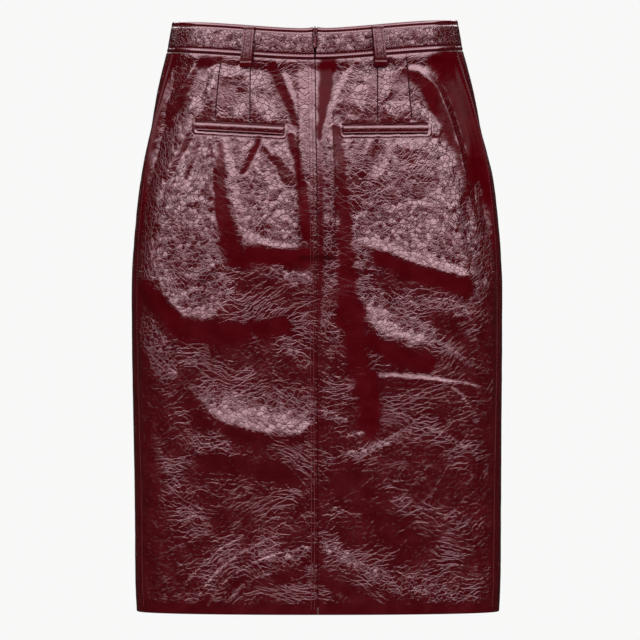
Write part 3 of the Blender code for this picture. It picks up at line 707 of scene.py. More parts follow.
def leather_waves(s, z, seed):
    """The middle-sized unevenness of the leather: soft dents, and creases that mostly lie level."""
    warp = layered(s / 0.055, z / 0.055, seed, 2) * 0.020
    soft = layered((s + warp) / 0.030, (z - warp) / 0.022, seed + 1, 3) * 0.30 * MM
    creases = ridged((s + warp * 1.4) / 0.036, (z + warp) / 0.0125, seed + 2, 3.5) * 0.13 * MM
    slanted = ridged((s + z * 0.8 + warp) / 0.050, (z - s * 0.6 + warp) / 0.014, seed + 3, 4.0) * 0.12 * MM
    return soft, creases + slanted


def kept(distance_mm):
    """A distance as the materials read it."""
    return np.clip(distance_mm, -FAR, FAR) + FAR


def dart_distance(x, z):
    """How far each point is to the right of the nearest dart's line, in millimetres."""
    nearest = np.full(x.shape, NOWHERE)
    for (x0, z0), (x1, z1) in DARTS:
        run = np.array([x1 - x0, z1 - z0])
        px, pz = x / MM - x0, z / MM - z0
        share = np.clip((px * run[0] + pz * run[1]) / (run @ run), 0, 1)
        gap = np.hypot(px - run[0] * share, pz - run[1] * share)
        gap = np.where(px * run[1] - pz * run[0] > 0, -gap, gap)
        nearest = np.where(np.abs(gap) < np.abs(nearest), gap, nearest)
    return nearest


def pocket_shape(x, z):
    """The panel round the pockets: how far it rises, how calm it is, how far a point is from the row of
    stitches round the welt, and how deep in the mouth it is."""
    rise, calm = np.zeros_like(x), np.ones_like(x)
    from_row, mouth = np.full(x.shape, NOWHERE), np.zeros_like(x)
    for welt in WELTS:
        start, end = np.array(welt.start, float), np.array(welt.end, float)
        length = np.linalg.norm(end - start)
        along = (end - start) / length
        px, pz = x / MM - start[0], z / MM - start[1]
        p = px * along[0] + pz * along[1]
        q = pz * along[0] - px * along[1]
        inside = smoothstep(p, -2.5, 0.5) * smoothstep(length - p, -2.5, 0.5)
        slot = np.exp(-(((q - 0.3) / MOUTH_WIDTH) ** 2)) * inside
        rise -= MOUTH_DEPTH * slot
        # The mouth's share also tells the material where to paint shade into the slot.
        mouth = np.maximum(mouth, slot)
        # Distance out from the welt's own rectangle
        dx = np.maximum(np.maximum(-p, p - length), 0)
        dq = np.maximum(np.maximum(q, -WELT_HEIGHT - q), 0)
        off = np.hypot(dx, dq)
        below = smoothstep(-q, -3.0, 1.0)
        raised = FRAME_HEIGHT * np.exp(-(((off - FRAME_OFF) / FRAME_WIDTH) ** 2))
        rise += (raised - 0.5 * (off < 0.5)) * below
        from_row = np.where((off < FRAME_OFF + 8) & (q < 2.0), off - FRAME_OFF - FRAME_ROW, from_row)
        calm = np.minimum(calm, smoothstep(off, 2.0, 7.0))
    return rise * MM, calm, from_row, mouth


Panel = namedtuple("Panel", "rise crackle lines side_row frame_row dart mouth gloss")
WAVE_SEEDS = {"back": 11, "front": 40}
FRONT_FROM = 3.0  # the front's leather is cut this far along in the noise
DART_DEPTH, DART_WIDTH = 0.55 * MM, 2.2  # the width in millimetres
ZIP_DIP = 1.3 * MM  # how far the leather can dip over the zip's tapes
OTHER_DIP = 20 * MM  # and how much further elsewhere
TAPES_HALF_WIDTH = 16 * MM
SIDE_ROLL, TOP_ROLL = 1.25 * MM, 0.45 * MM  # the rounds of a panel's edges
EDGE_WALL = 0.02 * MM  # the leather's thickness at the very edge, under the round
AWAY = 1.0  # a distance in metres that is far from everything


def panel_field(side, relief, angle, z, s, from_side, from_centre):
    """How far the leather rises from the smooth form at each point, and what its material reads there."""
    x, y, _, _ = outline(angle, z)
    under_band = band_seam(angle) - z
    # calm holds back the folds near the waistband and the seams, and stiff holds back the crackle.
    calm = smoothstep(under_band, 0, WAIST_CALM) * smoothstep(np.abs(y + SEAM_BEHIND), 0, SIDE_CALM)
    calm *= 0.55 + 0.45 * smoothstep(from_centre, 0, CENTRE_CALM)
    # The seam allowances under the sides and the turned-up hem keep the leather smooth there.
    ragged = noise(s / 0.006, z / 0.005, 77) * 2.2 * MM
    stiff = smoothstep(from_side + ragged, 6 * MM, 12 * MM) * smoothstep(z - HEM + ragged, 7 * MM, 15 * MM)
    stiff *= 0.6 + 0.4 * smoothstep(from_centre, 3 * MM, 9 * MM)
    stiff *= 0.5 + 0.5 * smoothstep(under_band, 0, 5 * MM)
    rise = read_relief(relief, relief.rise, x, z) * calm
    # The zip's tapes lie behind the centre back, so the leather can't dip far there.
    off_zip = np.maximum(from_centre - TAPES_HALF_WIDTH, -z + ZIP_END)
    shallow = -ZIP_DIP - OTHER_DIP * smoothstep(off_zip, 0, 12 * MM)
    rise = np.where(rise < 0, shallow * np.tanh(rise / shallow), rise)
    dart, frame_row, mouth = np.full(x.shape, NOWHERE), np.full(x.shape, NOWHERE), np.zeros_like(x)
    if side == "back":
        pocket, flat, frame_row, mouth = pocket_shape(x, z)
        dart = dart_distance(x, z)
        dip = DART_DEPTH * np.exp(-((dart / DART_WIDTH) ** 2))
        rise += pocket - dip * smoothstep(under_band, -1 * MM, 2 * MM)
        stiff *= 0.25 + 0.75 * flat
    fields = relief.crackle, relief.lines, relief.gloss
    crackle, lines, gloss = (read_relief(relief, field, x, z) for field in fields)
    soft, creases = leather_waves(s, z, WAVE_SEEDS[side])
    rise += soft * (0.10 * calm + 0.90 * stiff * np.clip(crackle * 1.4, 0, 1))
    rise += creases * stiff * (0.30 * crackle + 0.35 * lines)
    # Beside the side seams above the hips the leather shines less.
    gloss *= 1 - 0.6 * (1 - smoothstep(from_side, 6 * MM, 18 * MM)) * (1 - smoothstep(-z, 180 * MM, 260 * MM))
    side_row, frame_row, dart = (kept(far) for far in ((from_side - SIDE_ROW) / MM, frame_row, dart))
    return Panel(rise, crackle * stiff, lines * stiff, side_row, frame_row, dart, mouth, gloss)


def make_panel(piece, relief, step, material):
    """A panel with its folds, its rolled edges and, on the back, its darts and pocket mouths."""
    side = "front" if piece == "front" else "back"

    def top(angle):
        return band_seam(angle) - GAP

    def hem(angle):
        return HEM + 0 * angle

    grid = wrap_grid(piece, hem, top, step, step)
    angle, z = grid.angle, grid.z
    from_side = {"back_right": grid.from_end, "back_left": grid.from_start,
                 "front": np.minimum(grid.from_start, grid.from_end)}[piece]
    from_centre = np.abs(grid.s) if side == "back" else np.full_like(z, AWAY)
    s = grid.s + (FRONT_FROM if side == "front" else 0.0)
    field = panel_field(side, relief, angle, z, s, from_side, from_centre)
    edge = np.minimum(np.minimum(grid.from_start, grid.from_end), z - HEM)
    drop = np.maximum(rolled_edge(edge, SIDE_ROLL), rolled_edge(top(angle) - z, TOP_ROLL))
    outer, _ = surface_points(angle, z, field.rise - drop)
    inner, _ = surface_points(angle, z, field.rise - np.maximum(LEATHER, drop + EDGE_WALL))
    obj = shell_object(f"leather_{piece}", outer, inner)
    for name in ("crackle", "lines", "side_row", "frame_row", "dart", "mouth"):
        add_attribute(obj, name, getattr(field, name))
    add_attribute(obj, "dim", 1 - field.gloss)
    add_attribute(obj, "inside", 0 * z, default=1.0)
    if piece == "back_left":
        for k, place in enumerate(CENTRE_ROWS):
            add_attribute(obj, f"centre_row_{k}", kept((from_centre - place) / MM))
    cut(side)
    return dress(obj, material, f"{piece}_panel")


ROW_STEP = 1.5 * MM
SIDE_S = 0.19  # about how far the side seams are from the centre back along the leather


def panel_row(relief, angle, z, s, from_side, from_centre):
    """Points and outward directions of a row of stitches on the back panels."""
    s, from_side, from_centre = (value + 0 * z for value in (s, from_side, from_centre))
    return surface_points(angle, z, panel_field("back", relief, angle, z, s, from_side, from_centre).rise)


def row_heights(angle):
    """Heights along a row of stitches from just above the hem to just below the waistband."""
    return np.arange(HEM + 4 * MM, band_seam(angle) - 2 * MM, ROW_STEP)


def side_row_path(sign, relief, turn=0.01):
    """The row beside a side seam. sign is 1 at +X."""
    z = row_heights(np.pi / 2)
    seam = seam_angle(z)
    x0, y0, _, _ = outline(seam, z)
    x1, y1, _, _ = outline(seam - turn, z)
    angle = sign * (seam - SIDE_ROW * turn / np.hypot(x1 - x0, y1 - y0))
    return panel_row(relief, angle, z, SIDE_S * sign, SIDE_ROW, AWAY)


def centre_row_path(relief, distance):
    """A row to the left of the centre back."""
    z = row_heights(0.0)
    return panel_row(relief, -distance / section(z)[2], z, -distance, AWAY, distance)


# --- Waistband, belt loops, welts and zip ---

# The waistband's cross-section, all round: how far each point is out from the skirt's smooth form and up from
# the lower edge, in millimetres
BAND_PROFILE = [
    (-1.2, 0.0), (-0.5, 0.12), (0.05, 0.45), (0.55, 1.0), (0.88, 1.8), (0.92, 3.1), (0.74, 3.9),
    (0.42, 4.4), (0.40, 5.0), (0.66, 5.8), (0.84, 7.0), (0.86, 10.0), (0.90, 13.0), (0.92, 16.0),
    (0.90, 19.0), (0.88, 22.0), (0.84, 25.0), (0.66, 26.2), (0.40, 27.0), (0.42, 27.6), (0.72, 28.3),
    (0.98, 29.2), (0.95, 30.2), (0.62, 31.1), (0.05, 31.7), (-0.7, 32.0), (-1.5, 31.8), (-2.0, 31.2),
    (-2.15, 30.0), (-2.2, 24.0), (-2.2, 16.0), (-2.2, 8.0), (-2.15, 2.0), (-2.0, 0.6), (-1.7, 0.1),
]
BAND_OUTER = 25  # this many of the points above are on the outer face
BAND_ROWS = (4.7, 27.3)  # heights of its two rows of stitches, in millimetres
BAND_LEAN = 1.5 * MM  # how much further its upper edge stands out than its lower one
BAND_FLARE = 1.5 * MM  # how much higher its upper corners stand at the zip
BAND_ROW_OUT = 0.48 * MM  # how far its stitches are out from the smooth form
BAND_ROW_ENDS = (0.012, 0.988)  # the shares of a piece's length between which they run
BAND_ENDS_LOW = 5 * GAP  # how far apart its ends are at the seam under it
BAND_ABOUT = {"back_left": 0.19, "back_right": 0.19, "front": 0.45}  # lengths, for the count of points
BAND_NOISE = {"back_left": 801, "back_right": 802, "front": 803}
TRIM_STEP = 1.3 * MM


def band_gap(z):
    """How far apart the waistband's ends are at the zip: widest at the top, where the slider is."""
    low = WAIST_TOP - WAIST_DIP - BAND_HEIGHT
    return BAND_ENDS_LOW + (BAND_ENDS_APART - BAND_ENDS_LOW) * smoothstep(z, low, low + 20 * MM)


def band_surface(piece, fraction, up, out):
    """Points of the waistband at shares of its length, up it and out from the smooth form."""
    z_level = band_seam(np.pi if piece == "front" else 0.0) + up
    first, last = limits(piece, z_level, band_gap(z_level))
    angle, length = angles_along(first, last, z_level, fraction)
    start, end = fraction[None, :] * length[:, None], (1 - fraction)[None, :] * length[:, None]
    z = band_seam(angle) + up[:, None]
    if piece != "front":
        from_zip = start if piece == "back_right" else end
        z = z + BAND_FLARE * np.exp(-from_zip / (4 * MM)) * (up[:, None] / BAND_HEIGHT) ** 3
    seed = BAND_NOISE[piece]
    wavy = smoothstep(up, 6 * MM, 9 * MM) * (1 - smoothstep(up, 23 * MM, 26 * MM))
    soft = noise(start / 0.013, z / 0.007, seed) * 0.22 * MM
    soft += noise(start / 0.006, z / 0.004, seed + 5) * 0.10 * MM
    slow = noise(start / 0.035, 0 * z, seed + 9) * 0.35 * MM
    rolled = rolled_edge(np.minimum(start, end), 0.9 * MM)
    lean = (up[:, None] / BAND_HEIGHT - 0.6) * BAND_LEAN
    outward = out + lean + soft * wavy[:, None] * (out > 0) + (slow - rolled) * (out > -1 * MM)
    return surface_points(angle, z, outward)


def make_band(piece, material):
    """One piece of the waistband."""
    profile = np.array(BAND_PROFILE) * MM
    fraction = edge_spaced(BAND_ABOUT[piece], TRIM_STEP) / BAND_ABOUT[piece]
    points, _ = band_surface(piece, fraction, profile[:, 1], profile[:, :1])
    obj = loft_object(f"leather_band_{piece}", points.transpose(1, 0, 2))
    up = profile[:, 1] / MM
    outer = np.arange(len(up)) < BAND_OUTER
    crackle = np.where(outer & (up > 6) & (up < 26), 1.2, 0.12) * outer
    for name, values in (("crackle", crackle), ("inside", 1.0 - outer)):
        add_attribute(obj, name, np.tile(values, len(fraction)))
    cut("band_front" if piece == "front" else "band_back")
    return dress(obj, material, f"waistband_{piece}")


def band_row_paths(piece):
    """The rows of stitches along both edges of a piece of the waistband."""
    fraction = np.linspace(*BAND_ROW_ENDS, int(BAND_ABOUT[piece] / ROW_STEP))
    for height in BAND_ROWS:
        points, normals = band_surface(piece, fraction, np.array([height * MM]), np.array([[BAND_ROW_OUT]]))
        yield points[0], normals[0]


LOOP_ANGLES = {"back_left": -37.0, "back_right": 35.5, "front_left": -141.0, "front_right": 141.0}
LOOP_SLACK = 2.4 * MM  # room for a belt at the middle of the loop
LOOP_BELOW_TOP = 1.5 * MM
LOOP_UNDER_BAND = 11.5 * MM
LOOP_OFF = 1.6 * GAP  # from a loop's ends to the leather under them
LOOP_TURNS = [0.005, 0.01, 0.016, 0.12, 0.13, 0.14, 0.984, 0.99, 0.995]  # shares of its height where it turns
# A belt loop's cross-section: across and out, in millimetres. Its two rows of stitches are LOOP_ROW across.
LOOP_PROFILE = [
    (-5.5, 0.8), (-5.35, 1.35), (-4.9, 1.72), (-4.4, 1.68), (-3.9, 1.38), (-3.4, 1.42), (-2.8, 1.75),
    (-1.5, 1.95), (0.0, 2.0), (1.5, 1.95), (2.8, 1.75), (3.4, 1.42), (3.9, 1.38), (4.4, 1.68), (4.9, 1.72),
    (5.35, 1.35), (5.5, 0.8), (5.3, 0.25), (4.8, 0.0), (1.6, 0.0), (-1.6, 0.0), (-4.8, 0.0), (-5.3, 0.25),
]
LOOP_OUTER = 17  # this many of the points above are on the outer face
LOOP_ROW, LOOP_ROW_OUT, LOOP_ROW_ENDS = 3.65, 1.46 * MM, (0.14, 0.95)


def loop_surface(degrees, share, across, out):
    """Points of a belt loop at shares of its height, across it and out from its inner face."""
    middle = np.radians(degrees) * np.ones(1)
    top = waist_top(middle) - LOOP_BELOW_TOP
    bottom = band_seam(middle) - LOOP_UNDER_BAND
    z = bottom + (top - bottom) * share
    x0, y0, _, _ = outline(middle, top)
    angle = middle + across[None, :] / np.hypot(x0, y0)
    slack = LOOP_SLACK * np.sin(np.pi * share) ** 0.6
    proud = BAND_PROUD * smoothstep(share, 0.0, 0.22)
    folded = 0.9 * MM * (1 - smoothstep(share, 0.115, 0.15)) + 0.6 * MM * smoothstep(share, 0.93, 0.96)
    round_end = rolled_edge(np.minimum(share, 1 - share) * (top - bottom), 0.9 * MM)
    lean = BAND_LEAN * (np.clip((z - band_seam(middle)) / BAND_HEIGHT, 0.4, 1.0) - 0.4)
    thick = (folded - round_end)[:, None] * (out > 0.9 * MM)
    z = np.repeat(z[:, None], len(across), axis=1)
    return surface_points(angle, z, (LOOP_OFF + proud + slack + lean)[:, None] + out + thick, middle + 0 * z)


def make_loop(place, degrees, material):
    """A belt loop, folded over at both ends."""
    profile = np.array(LOOP_PROFILE) * MM
    share = np.unique(np.concatenate([np.linspace(0, 1, 56), LOOP_TURNS]))
    points, _ = loop_surface(degrees, share, profile[:, 0], profile[:, 1])
    obj = loft_object(f"leather_loop_{place}", points)
    outer = np.arange(len(profile)) < LOOP_OUTER
    centre = outer & (np.abs(profile[:, 0]) < 3 * MM)
    crackle = np.where(centre, 0.8, 0.12)[None, :] * smoothstep(share, 0.15, 0.2)[:, None]
    add_attribute(obj, "crackle", crackle)
    add_attribute(obj, "dim", np.full_like(crackle, 0.5))
    cut("loop")
    return dress(obj, material, f"belt_loop_{place}")


def loop_row_paths(degrees):
    """The rows of stitches along both sides of a belt loop."""
    share = np.linspace(*LOOP_ROW_ENDS, 30)
    for across in (-LOOP_ROW, LOOP_ROW):
        points, normals = loop_surface(degrees, share, np.array([across * MM]), np.array([LOOP_ROW_OUT]))
        yield points[:, 0], normals[:, 0]


# A welt's cross-section: down from its upper edge and out from the panel's smooth surface, in millimetres.
# Its row of stitches is WELT_ROW down.
WELT_PROFILE = [
    (0.15, 0.5), (0.0, 0.9), (0.05, 1.5), (0.3, 2.05), (0.8, 2.38), (1.6, 2.5), (3.4, 2.45), (4.6, 2.25),
    (5.7, 1.95), (6.4, 1.7), (6.9, 1.55), (7.3, 1.6), (7.8, 1.6), (8.3, 1.35), (8.6, 0.9), (8.5, 0.5),
    (8.0, 0.25), (5.0, 0.2), (2.0, 0.2), (0.5, 0.25),
]
WELT_OUTER = 15  # this many of the points above are on the outer face
WELT_ROW, WELT_ROW_OUT, WELT_ROW_ENDS = 6.9, 1.62 * MM, (0.02, 0.98)
WELT_FROM_SIDE, WELT_FROM_CENTRE = 50 * MM, 20 * MM  # a welt is about this far from the seams, or further


def angle_at_x(x, z):
    """The angle of the point on the back whose x is given."""
    half_width, shift, back, _, power = section(z)
    a = np.clip(np.abs(x - shift) / half_width, 0, 0.999)
    return np.arctan2(x - shift, (1 - a**power) ** (1 / power) * back)


def welt_surface(welt, relief, along, down, out):
    """Points of a welt at shares of its length, down from its upper edge and out from the panel."""
    start, end = np.array(welt.start, float) * MM, np.array(welt.end, float) * MM
    x = (start[0] + (end[0] - start[0]) * along)[:, None] + 0 * down
    z = (start[1] + (end[1] - start[1]) * along)[:, None] - down
    middle_z = start[1] + (end[1] - start[1]) * along - WELT_HEIGHT / 2 * MM
    under = read_relief(relief, relief.rise, x[:, 0], middle_z)
    sag = noise(along * 6, 0 * along, 911) * 0.12 * MM
    ends = rolled_edge(np.minimum(along, 1 - along) * np.linalg.norm(end - start), 1.1 * MM)
    lift = out + under[:, None] + (sag - ends)[:, None] * (out > 1.2 * MM)
    return surface_points(angle_at_x(x, z), z, lift)


def make_welt(welt, relief, material):
    """The strip over a pocket's mouth."""
    profile = np.array(WELT_PROFILE) * MM
    length = CUTS["welt"][0]
    along = edge_spaced(length, TRIM_STEP) / length
    points, _ = welt_surface(welt, relief, along, profile[:, 0], profile[:, 1])
    obj = loft_object(f"leather_welt_{welt.name}", points)
    outer = np.arange(len(profile)) < WELT_OUTER
    add_attribute(obj, "crackle", np.tile(0.22 * outer, len(along)))
    cut("welt")
    return dress(obj, material, f"pocket_welt_{welt.name}")


def welt_row_path(welt, relief):
    """The row of stitches along a welt."""
    along = np.linspace(*WELT_ROW_ENDS, 60)
    points, normals = welt_surface(welt, relief, along, np.array([WELT_ROW * MM]), np.array([WELT_ROW_OUT]))
    return points[:, 0], normals[:, 0]


def frame_row_path(welt, relief):
    """The stitches on the panel round the two ends and the lower side of a welt."""
    start, end = np.array(welt.start, float), np.array(welt.end, float)
    length = np.linalg.norm(end - start)
    run = (end - start) / length
    off, low = FRAME_OFF + FRAME_ROW, -WELT_HEIGHT
    corners = np.array([
        (-off, 0.5), (-off, low - 1.0), (-1.0, low - off),
        (length + 1.0, low - off), (length + off, low - 1.0), (length + off, 0.5),
    ])
    sides = zip(corners, corners[1:], (24, 24, 90, 24, 24))
    p, q = np.concatenate([np.linspace(a, b, count)[:-1] for a, b, count in sides]).T
    x, z = (start[0] + p * run[0] - q * run[1]) * MM, (start[1] + p * run[1] + q * run[0]) * MM
    return panel_row(relief, angle_at_x(x, z), z, x, WELT_FROM_SIDE, WELT_FROM_CENTRE)


TOOTH = (2.3 * MM, 1.1 * MM, 1.0 * MM)  # a zip tooth's width, depth and height
TOOTH_PITCH = 1.15 * MM
TOOTH_ASIDE = 0.45 * MM  # every other tooth is this far to the other side
TEETH_FROM, TEETH_TO = -30 * MM, -2 * MM
TEETH_BEHIND = 3.6 * MM - 0.75 * MM  # from the smooth form to the middle of a tooth


def make_teeth(material):
    """The zip's teeth, on its tapes behind the centre back, down to below the waistband."""
    corner = np.array([(a, b, c) for a in (-0.5, 0.5) for b in (-0.5, 0.5) for c in (-0.5, 0.5)])
    box = np.array([(0, 1, 3, 2), (4, 6, 7, 5), (0, 4, 5, 1), (2, 3, 7, 6), (0, 2, 6, 4), (1, 5, 7, 3)])
    z = np.arange(TEETH_FROM, TEETH_TO, TOOTH_PITCH)
    _, shift, back, _, _ = section(z)
    side = np.where(np.arange(len(z)) % 2, TOOTH_ASIDE, -TOOTH_ASIDE)
    middle = stacked(shift + side, -back + TEETH_BEHIND, z)
    obj = copies_object("zip_teeth", middle[:, None, :] + corner * TOOTH, box)
    return dress(obj, material, None)


# --- Materials ---


class Nodes:
    """A short way to add and link the nodes of a material or world. A value may be another node's socket."""

    def __init__(self, owner):
        owner.use_nodes = True
        self.owner, self.tree = owner, owner.node_tree

    def add(self, kind, settings=None, **inputs):
        node = self.tree.nodes.new("ShaderNode" + kind)
        for key, value in (settings or {}).items():
            setattr(node, key, value)
        for key, value in inputs.items():
            self.put(node.inputs[key.replace("_", " ")], value)
        return node

    def put(self, socket, value):
        if isinstance(value, bpy.types.NodeSocket):
            self.tree.links.new(value, socket)
        else:
            socket.default_value = value

    def shade(self, **inputs):
        """Sets or links inputs of the material's shader."""
        for key, value in inputs.items():
            self.put(self.tree.nodes["Principled BSDF"].inputs[key.replace("_", " ")], value)

    def math(self, operation, first, *others, clamp=False):
        """The operation on the first value and each of the others in turn."""
        for other in others:
            node = self.add("Math", {"operation": operation, "use_clamp": clamp})
            self.put(node.inputs[0], first)
            self.put(node.inputs[1], other)
            first = node.outputs[0]
        return first

    def times(self, *values):
        return self.math("MULTIPLY", *values)

    def less(self, a, b):
        return self.math("SUBTRACT", a, b)

    def total(self, *pairs):
        """The sum of the first value of each pair times its second."""
        return self.math("ADD", *(self.times(*pair) for pair in pairs))

    def vector(self, operation, a, b):
        node = self.add("VectorMath", {"operation": operation})
        self.put(node.inputs[0], a)
        self.put(node.inputs[1], b)
        return node.outputs["Value" if operation == "DOT_PRODUCT" else "Vector"]

    def ramp(self, value, low, high, to_low=0.0, to_high=1.0):
        node = self.add("MapRange", {"interpolation_type": "SMOOTHSTEP"}, Value=value)
        for key, number in (("From Min", low), ("From Max", high), ("To Min", to_low), ("To Max", to_high)):
            self.put(node.inputs[key], number)
        return node.outputs[0]

    def noise(self, place, scale, detail, output="Fac"):
        return self.add("TexNoise", Vector=place, Scale=scale, Detail=detail).outputs[output]

    def wave(self, place, direction, scale):
        return self.add("TexWave", {"bands_direction": direction}, Vector=place, Scale=scale).outputs["Fac"]

    def mixed(self, share, a, b):
        node = self.add("Mix", {"data_type": "RGBA"}, Factor=share)
        self.put(node.inputs[6], a)
        self.put(node.inputs[7], b)
        return node.outputs[2]

    def bump(self, height):
        return self.add("Bump", Height=height, Strength=1.0, Distance=1.0).outputs["Normal"]


HALF_BACK = (-0.5, -0.5, -0.5)  # makes a noise's colour wander both ways

LEATHER_DEEP = (0.050, 0.0004, 0.0020, 1.0)
LEATHER_LIGHT = (0.070, 0.0014, 0.0036, 1.0)
LEATHER_PAINTED_SHADE = (0.020, 0.0010, 0.0018, 1.0)  # painted shade: the dark colour laid into the cracks between cells, the darts and the pocket mouths, where shade falls
FLESH_SIDE = (0.075, 0.020, 0.022, 1.0)


def leather_material(name, depth=1.0, per_metre=205.0):
    """Glossy, lacquered leather: flat cells between fine cracks, and longer creases across them. depth raises
    or lowers the cells, and per_metre is how many there are. The pieces give how much crackle and how many
    lines each place has, and how near it is to a row of stitches or a dart."""
    n = Nodes(bpy.data.materials.new(name))
    place = n.add("TexCoord").outputs["Object"]

    def given(attribute):
        return n.add("Attribute", {"attribute_name": attribute}).outputs["Fac"]

    def distance_to(attribute):
        return n.math("ABSOLUTE", n.less(given(attribute), FAR), 0.0)

    def wander(vector, scale, detail, reach):
        drift = n.vector("ADD", n.noise(place, scale, detail, "Color"), HALF_BACK)
        return n.vector("ADD", vector, n.vector("MULTIPLY", drift, reach))

    def cracks(vector, scale, width):
        cell = n.add("TexVoronoi", {"feature": "DISTANCE_TO_EDGE"}, Vector=vector, Scale=scale)
        return n.ramp(cell.outputs["Distance"], 0.0, width)

    def slanted(degrees, stretch, scale, width):
        """Long cracks at these degrees from level. A smaller stretch makes them longer."""
        turned = n.add("Mapping", Vector=rolling, Rotation=(0.0, math.radians(degrees), 0.0))
        longer = n.vector("MULTIPLY", turned.outputs["Vector"], (stretch, stretch, 1.0))
        return cracks(longer, scale, width)

    wandering = wander(place, 70.0, 3.0, (0.009, 0.009, 0.009))
    rolling = wander(wandering, 13.0, 1.5, (0.02, 0.02, 0.075))
    crackle, lines, inside = given("crackle"), given("lines"), given("inside")
    from_row = n.math("MINIMUM", *map(distance_to, ("side_row", "frame_row", "centre_row_0", "centre_row_1")))
    from_dart = distance_to("dart")

    big = cracks(wandering, per_metre, 0.085)
    cell = n.add("TexVoronoi", {"feature": "F1"}, Vector=wandering, Scale=per_metre).outputs
    # Each cell is tipped its own way.
    tip = n.vector("ADD", cell["Color"], HALF_BACK)
    tipped = n.vector("DOT_PRODUCT", n.vector("SUBTRACT", wandering, cell["Position"]), tip)
    cells = n.total(
        (big, 0.14 * MM * depth),
        (cracks(wandering, 420.0, 0.13), 0.025 * MM * depth),
        (n.noise(place, 95.0, 3.0), 0.50 * MM * depth),
        (n.noise(wandering, 360.0, 2.0), 0.07 * MM * depth),
        (tipped, 0.13 * depth),
    )
    way, patches = n.noise(place, 17.0, 3.0), n.ramp(n.noise(place, 34.0, 4.0), 0.35, 0.55)
    creases = n.total(
        (slanted(4, 0.34, 160.0, 0.070), 0.12 * MM),
        (slanted(30, 0.22, 105.0, 0.050), n.ramp(way, 0.44, 0.58, 0.0, 0.17 * MM)),
        (slanted(-27, 0.22, 115.0, 0.055), n.ramp(way, 0.42, 0.56, 0.17 * MM, 0.0)),
    )
    arcs = n.times(slanted(38, 0.12, 80.0, 0.045), n.ramp(way, 0.49, 0.60))
    height = n.total(
        (cells, crackle),
        (creases, patches, lines),
        (arcs, lines, 0.09 * MM),
        (n.ramp(from_row, 0.0, 1.0), 0.22 * MM),
        (n.ramp(from_dart, 0.0, 0.9), 0.40 * MM),
        (n.noise(place, 1500.0, 2.0), 0.003 * MM),
    )
    normal = n.bump(height)

    tone = n.noise(place, 55.0, 4.0)
    # Painted shade: the cracks between cells, the darts and the pocket mouths are darkened towards the
    # painted shade colour and made duller.
    crack_painted_shade = n.times(n.less(1.0, big), crackle, 0.6)
    dart_painted_shade = n.less(1.0, n.ramp(from_dart, 0.25, 0.8))
    shade = n.math("MAXIMUM", crack_painted_shade, dart_painted_shade, n.ramp(given("mouth"), 0.35, 0.9), clamp=True)
    dull = n.math("MAXIMUM", inside, shade)
    sheen = n.times(n.less(1.0, dull), n.less(1.0, given("dim")))
    colour = n.mixed(n.ramp(tone, 0.3, 0.75), LEATHER_DEEP, LEATHER_LIGHT)
    colour = n.mixed(inside, n.mixed(shade, colour, LEATHER_PAINTED_SHADE), FLESH_SIDE)
    n.shade(
        Base_Color=colour, Normal=normal, Coat_Normal=normal, IOR=1.8, Specular_Tint=(1.0, 0.65, 0.74, 1.0),
        Roughness=n.math("ADD", n.ramp(tone, 0.2, 0.8, 0.10, 0.20), n.times(dull, 0.5), clamp=True),
        Specular_IOR_Level=n.ramp(sheen, 0.0, 1.0, 0.03, 0.8),
        Coat_Weight=n.times(sheen, 0.55), Coat_Roughness=0.08,
    )
    return n.owner


def thread_material():
    """Dark red thread with a twist."""
    n = Nodes(bpy.data.materials.new("oxblood_thread"))
    place = n.add("TexCoord").outputs["Object"]
    tone = n.noise(place, 300.0, 2.0)
    n.shade(
        Base_Color=n.mixed(tone, (0.10, 0.010, 0.016, 1), (0.17, 0.03, 0.04, 1)),
        Roughness=n.ramp(tone, 0.2, 0.8, 0.35, 0.55),
        Normal=n.bump(n.times(n.wave(place, "DIAGONAL", 900.0), 0.06 * MM)),
    )
    return n.owner


def tape_material():
    """Woven tape: ribs along it, crossed by finer threads."""
    n = Nodes(bpy.data.materials.new("zip_tape_weave"))
    place = n.add("TexCoord").outputs["Object"]
    ribs, picks = n.wave(place, "X", 520.0), n.wave(place, "Z", 800.0)
    n.shade(
        Base_Color=n.mixed(picks, (0.018, 0.003, 0.004, 1), (0.05, 0.006, 0.010, 1)),
        Roughness=n.ramp(ribs, 0.0, 1.0, 0.75, 0.9),
        Normal=n.bump(n.total((ribs, 0.10 * MM), (picks, 0.06 * MM))),
    )
    return n.owner


def metal_material():
    """Metal under a worn dark red lacquer."""
    n = Nodes(bpy.data.materials.new("lacquered_metal"))
    wear = n.noise(n.add("TexCoord").outputs["Object"], 420.0, 4.0)
    n.shade(
        Base_Color=n.mixed(n.ramp(wear, 0.55, 0.75), (0.07, 0.016, 0.020, 1), (0.42, 0.30, 0.31, 1)),
        Roughness=n.ramp(wear, 0.3, 0.8, 0.24, 0.42), Metallic=0.9,
        Normal=n.bump(n.times(wear, 0.03 * MM)),
    )
    return n.owner


# --- Camera, light and floor ---

CAMERA_DISTANCE = 7.5
VIEW_WIDTH = 0.6624  # how much the picture takes in at the skirt's axis
VIEW_CENTRE = (0.0031, -0.2898)  # x and z of the picture's middle
FLOOR_Z = -1.04
FLOOR_RADIUS = 6.0


def make_camera():
    data = bpy.data.cameras.new("camera")
    data.sensor_width = 36.0
    data.lens = data.sensor_width * CAMERA_DISTANCE / VIEW_WIDTH
    data.clip_end = 100.0
    camera = bpy.data.objects.new("camera", data)
    camera.location = (VIEW_CENTRE[0], -CAMERA_DISTANCE, VIEW_CENTRE[1])
    camera.rotation_euler = (math.radians(90), 0, 0)
    bpy.context.scene.collection.objects.link(camera)
    bpy.context.scene.camera = camera


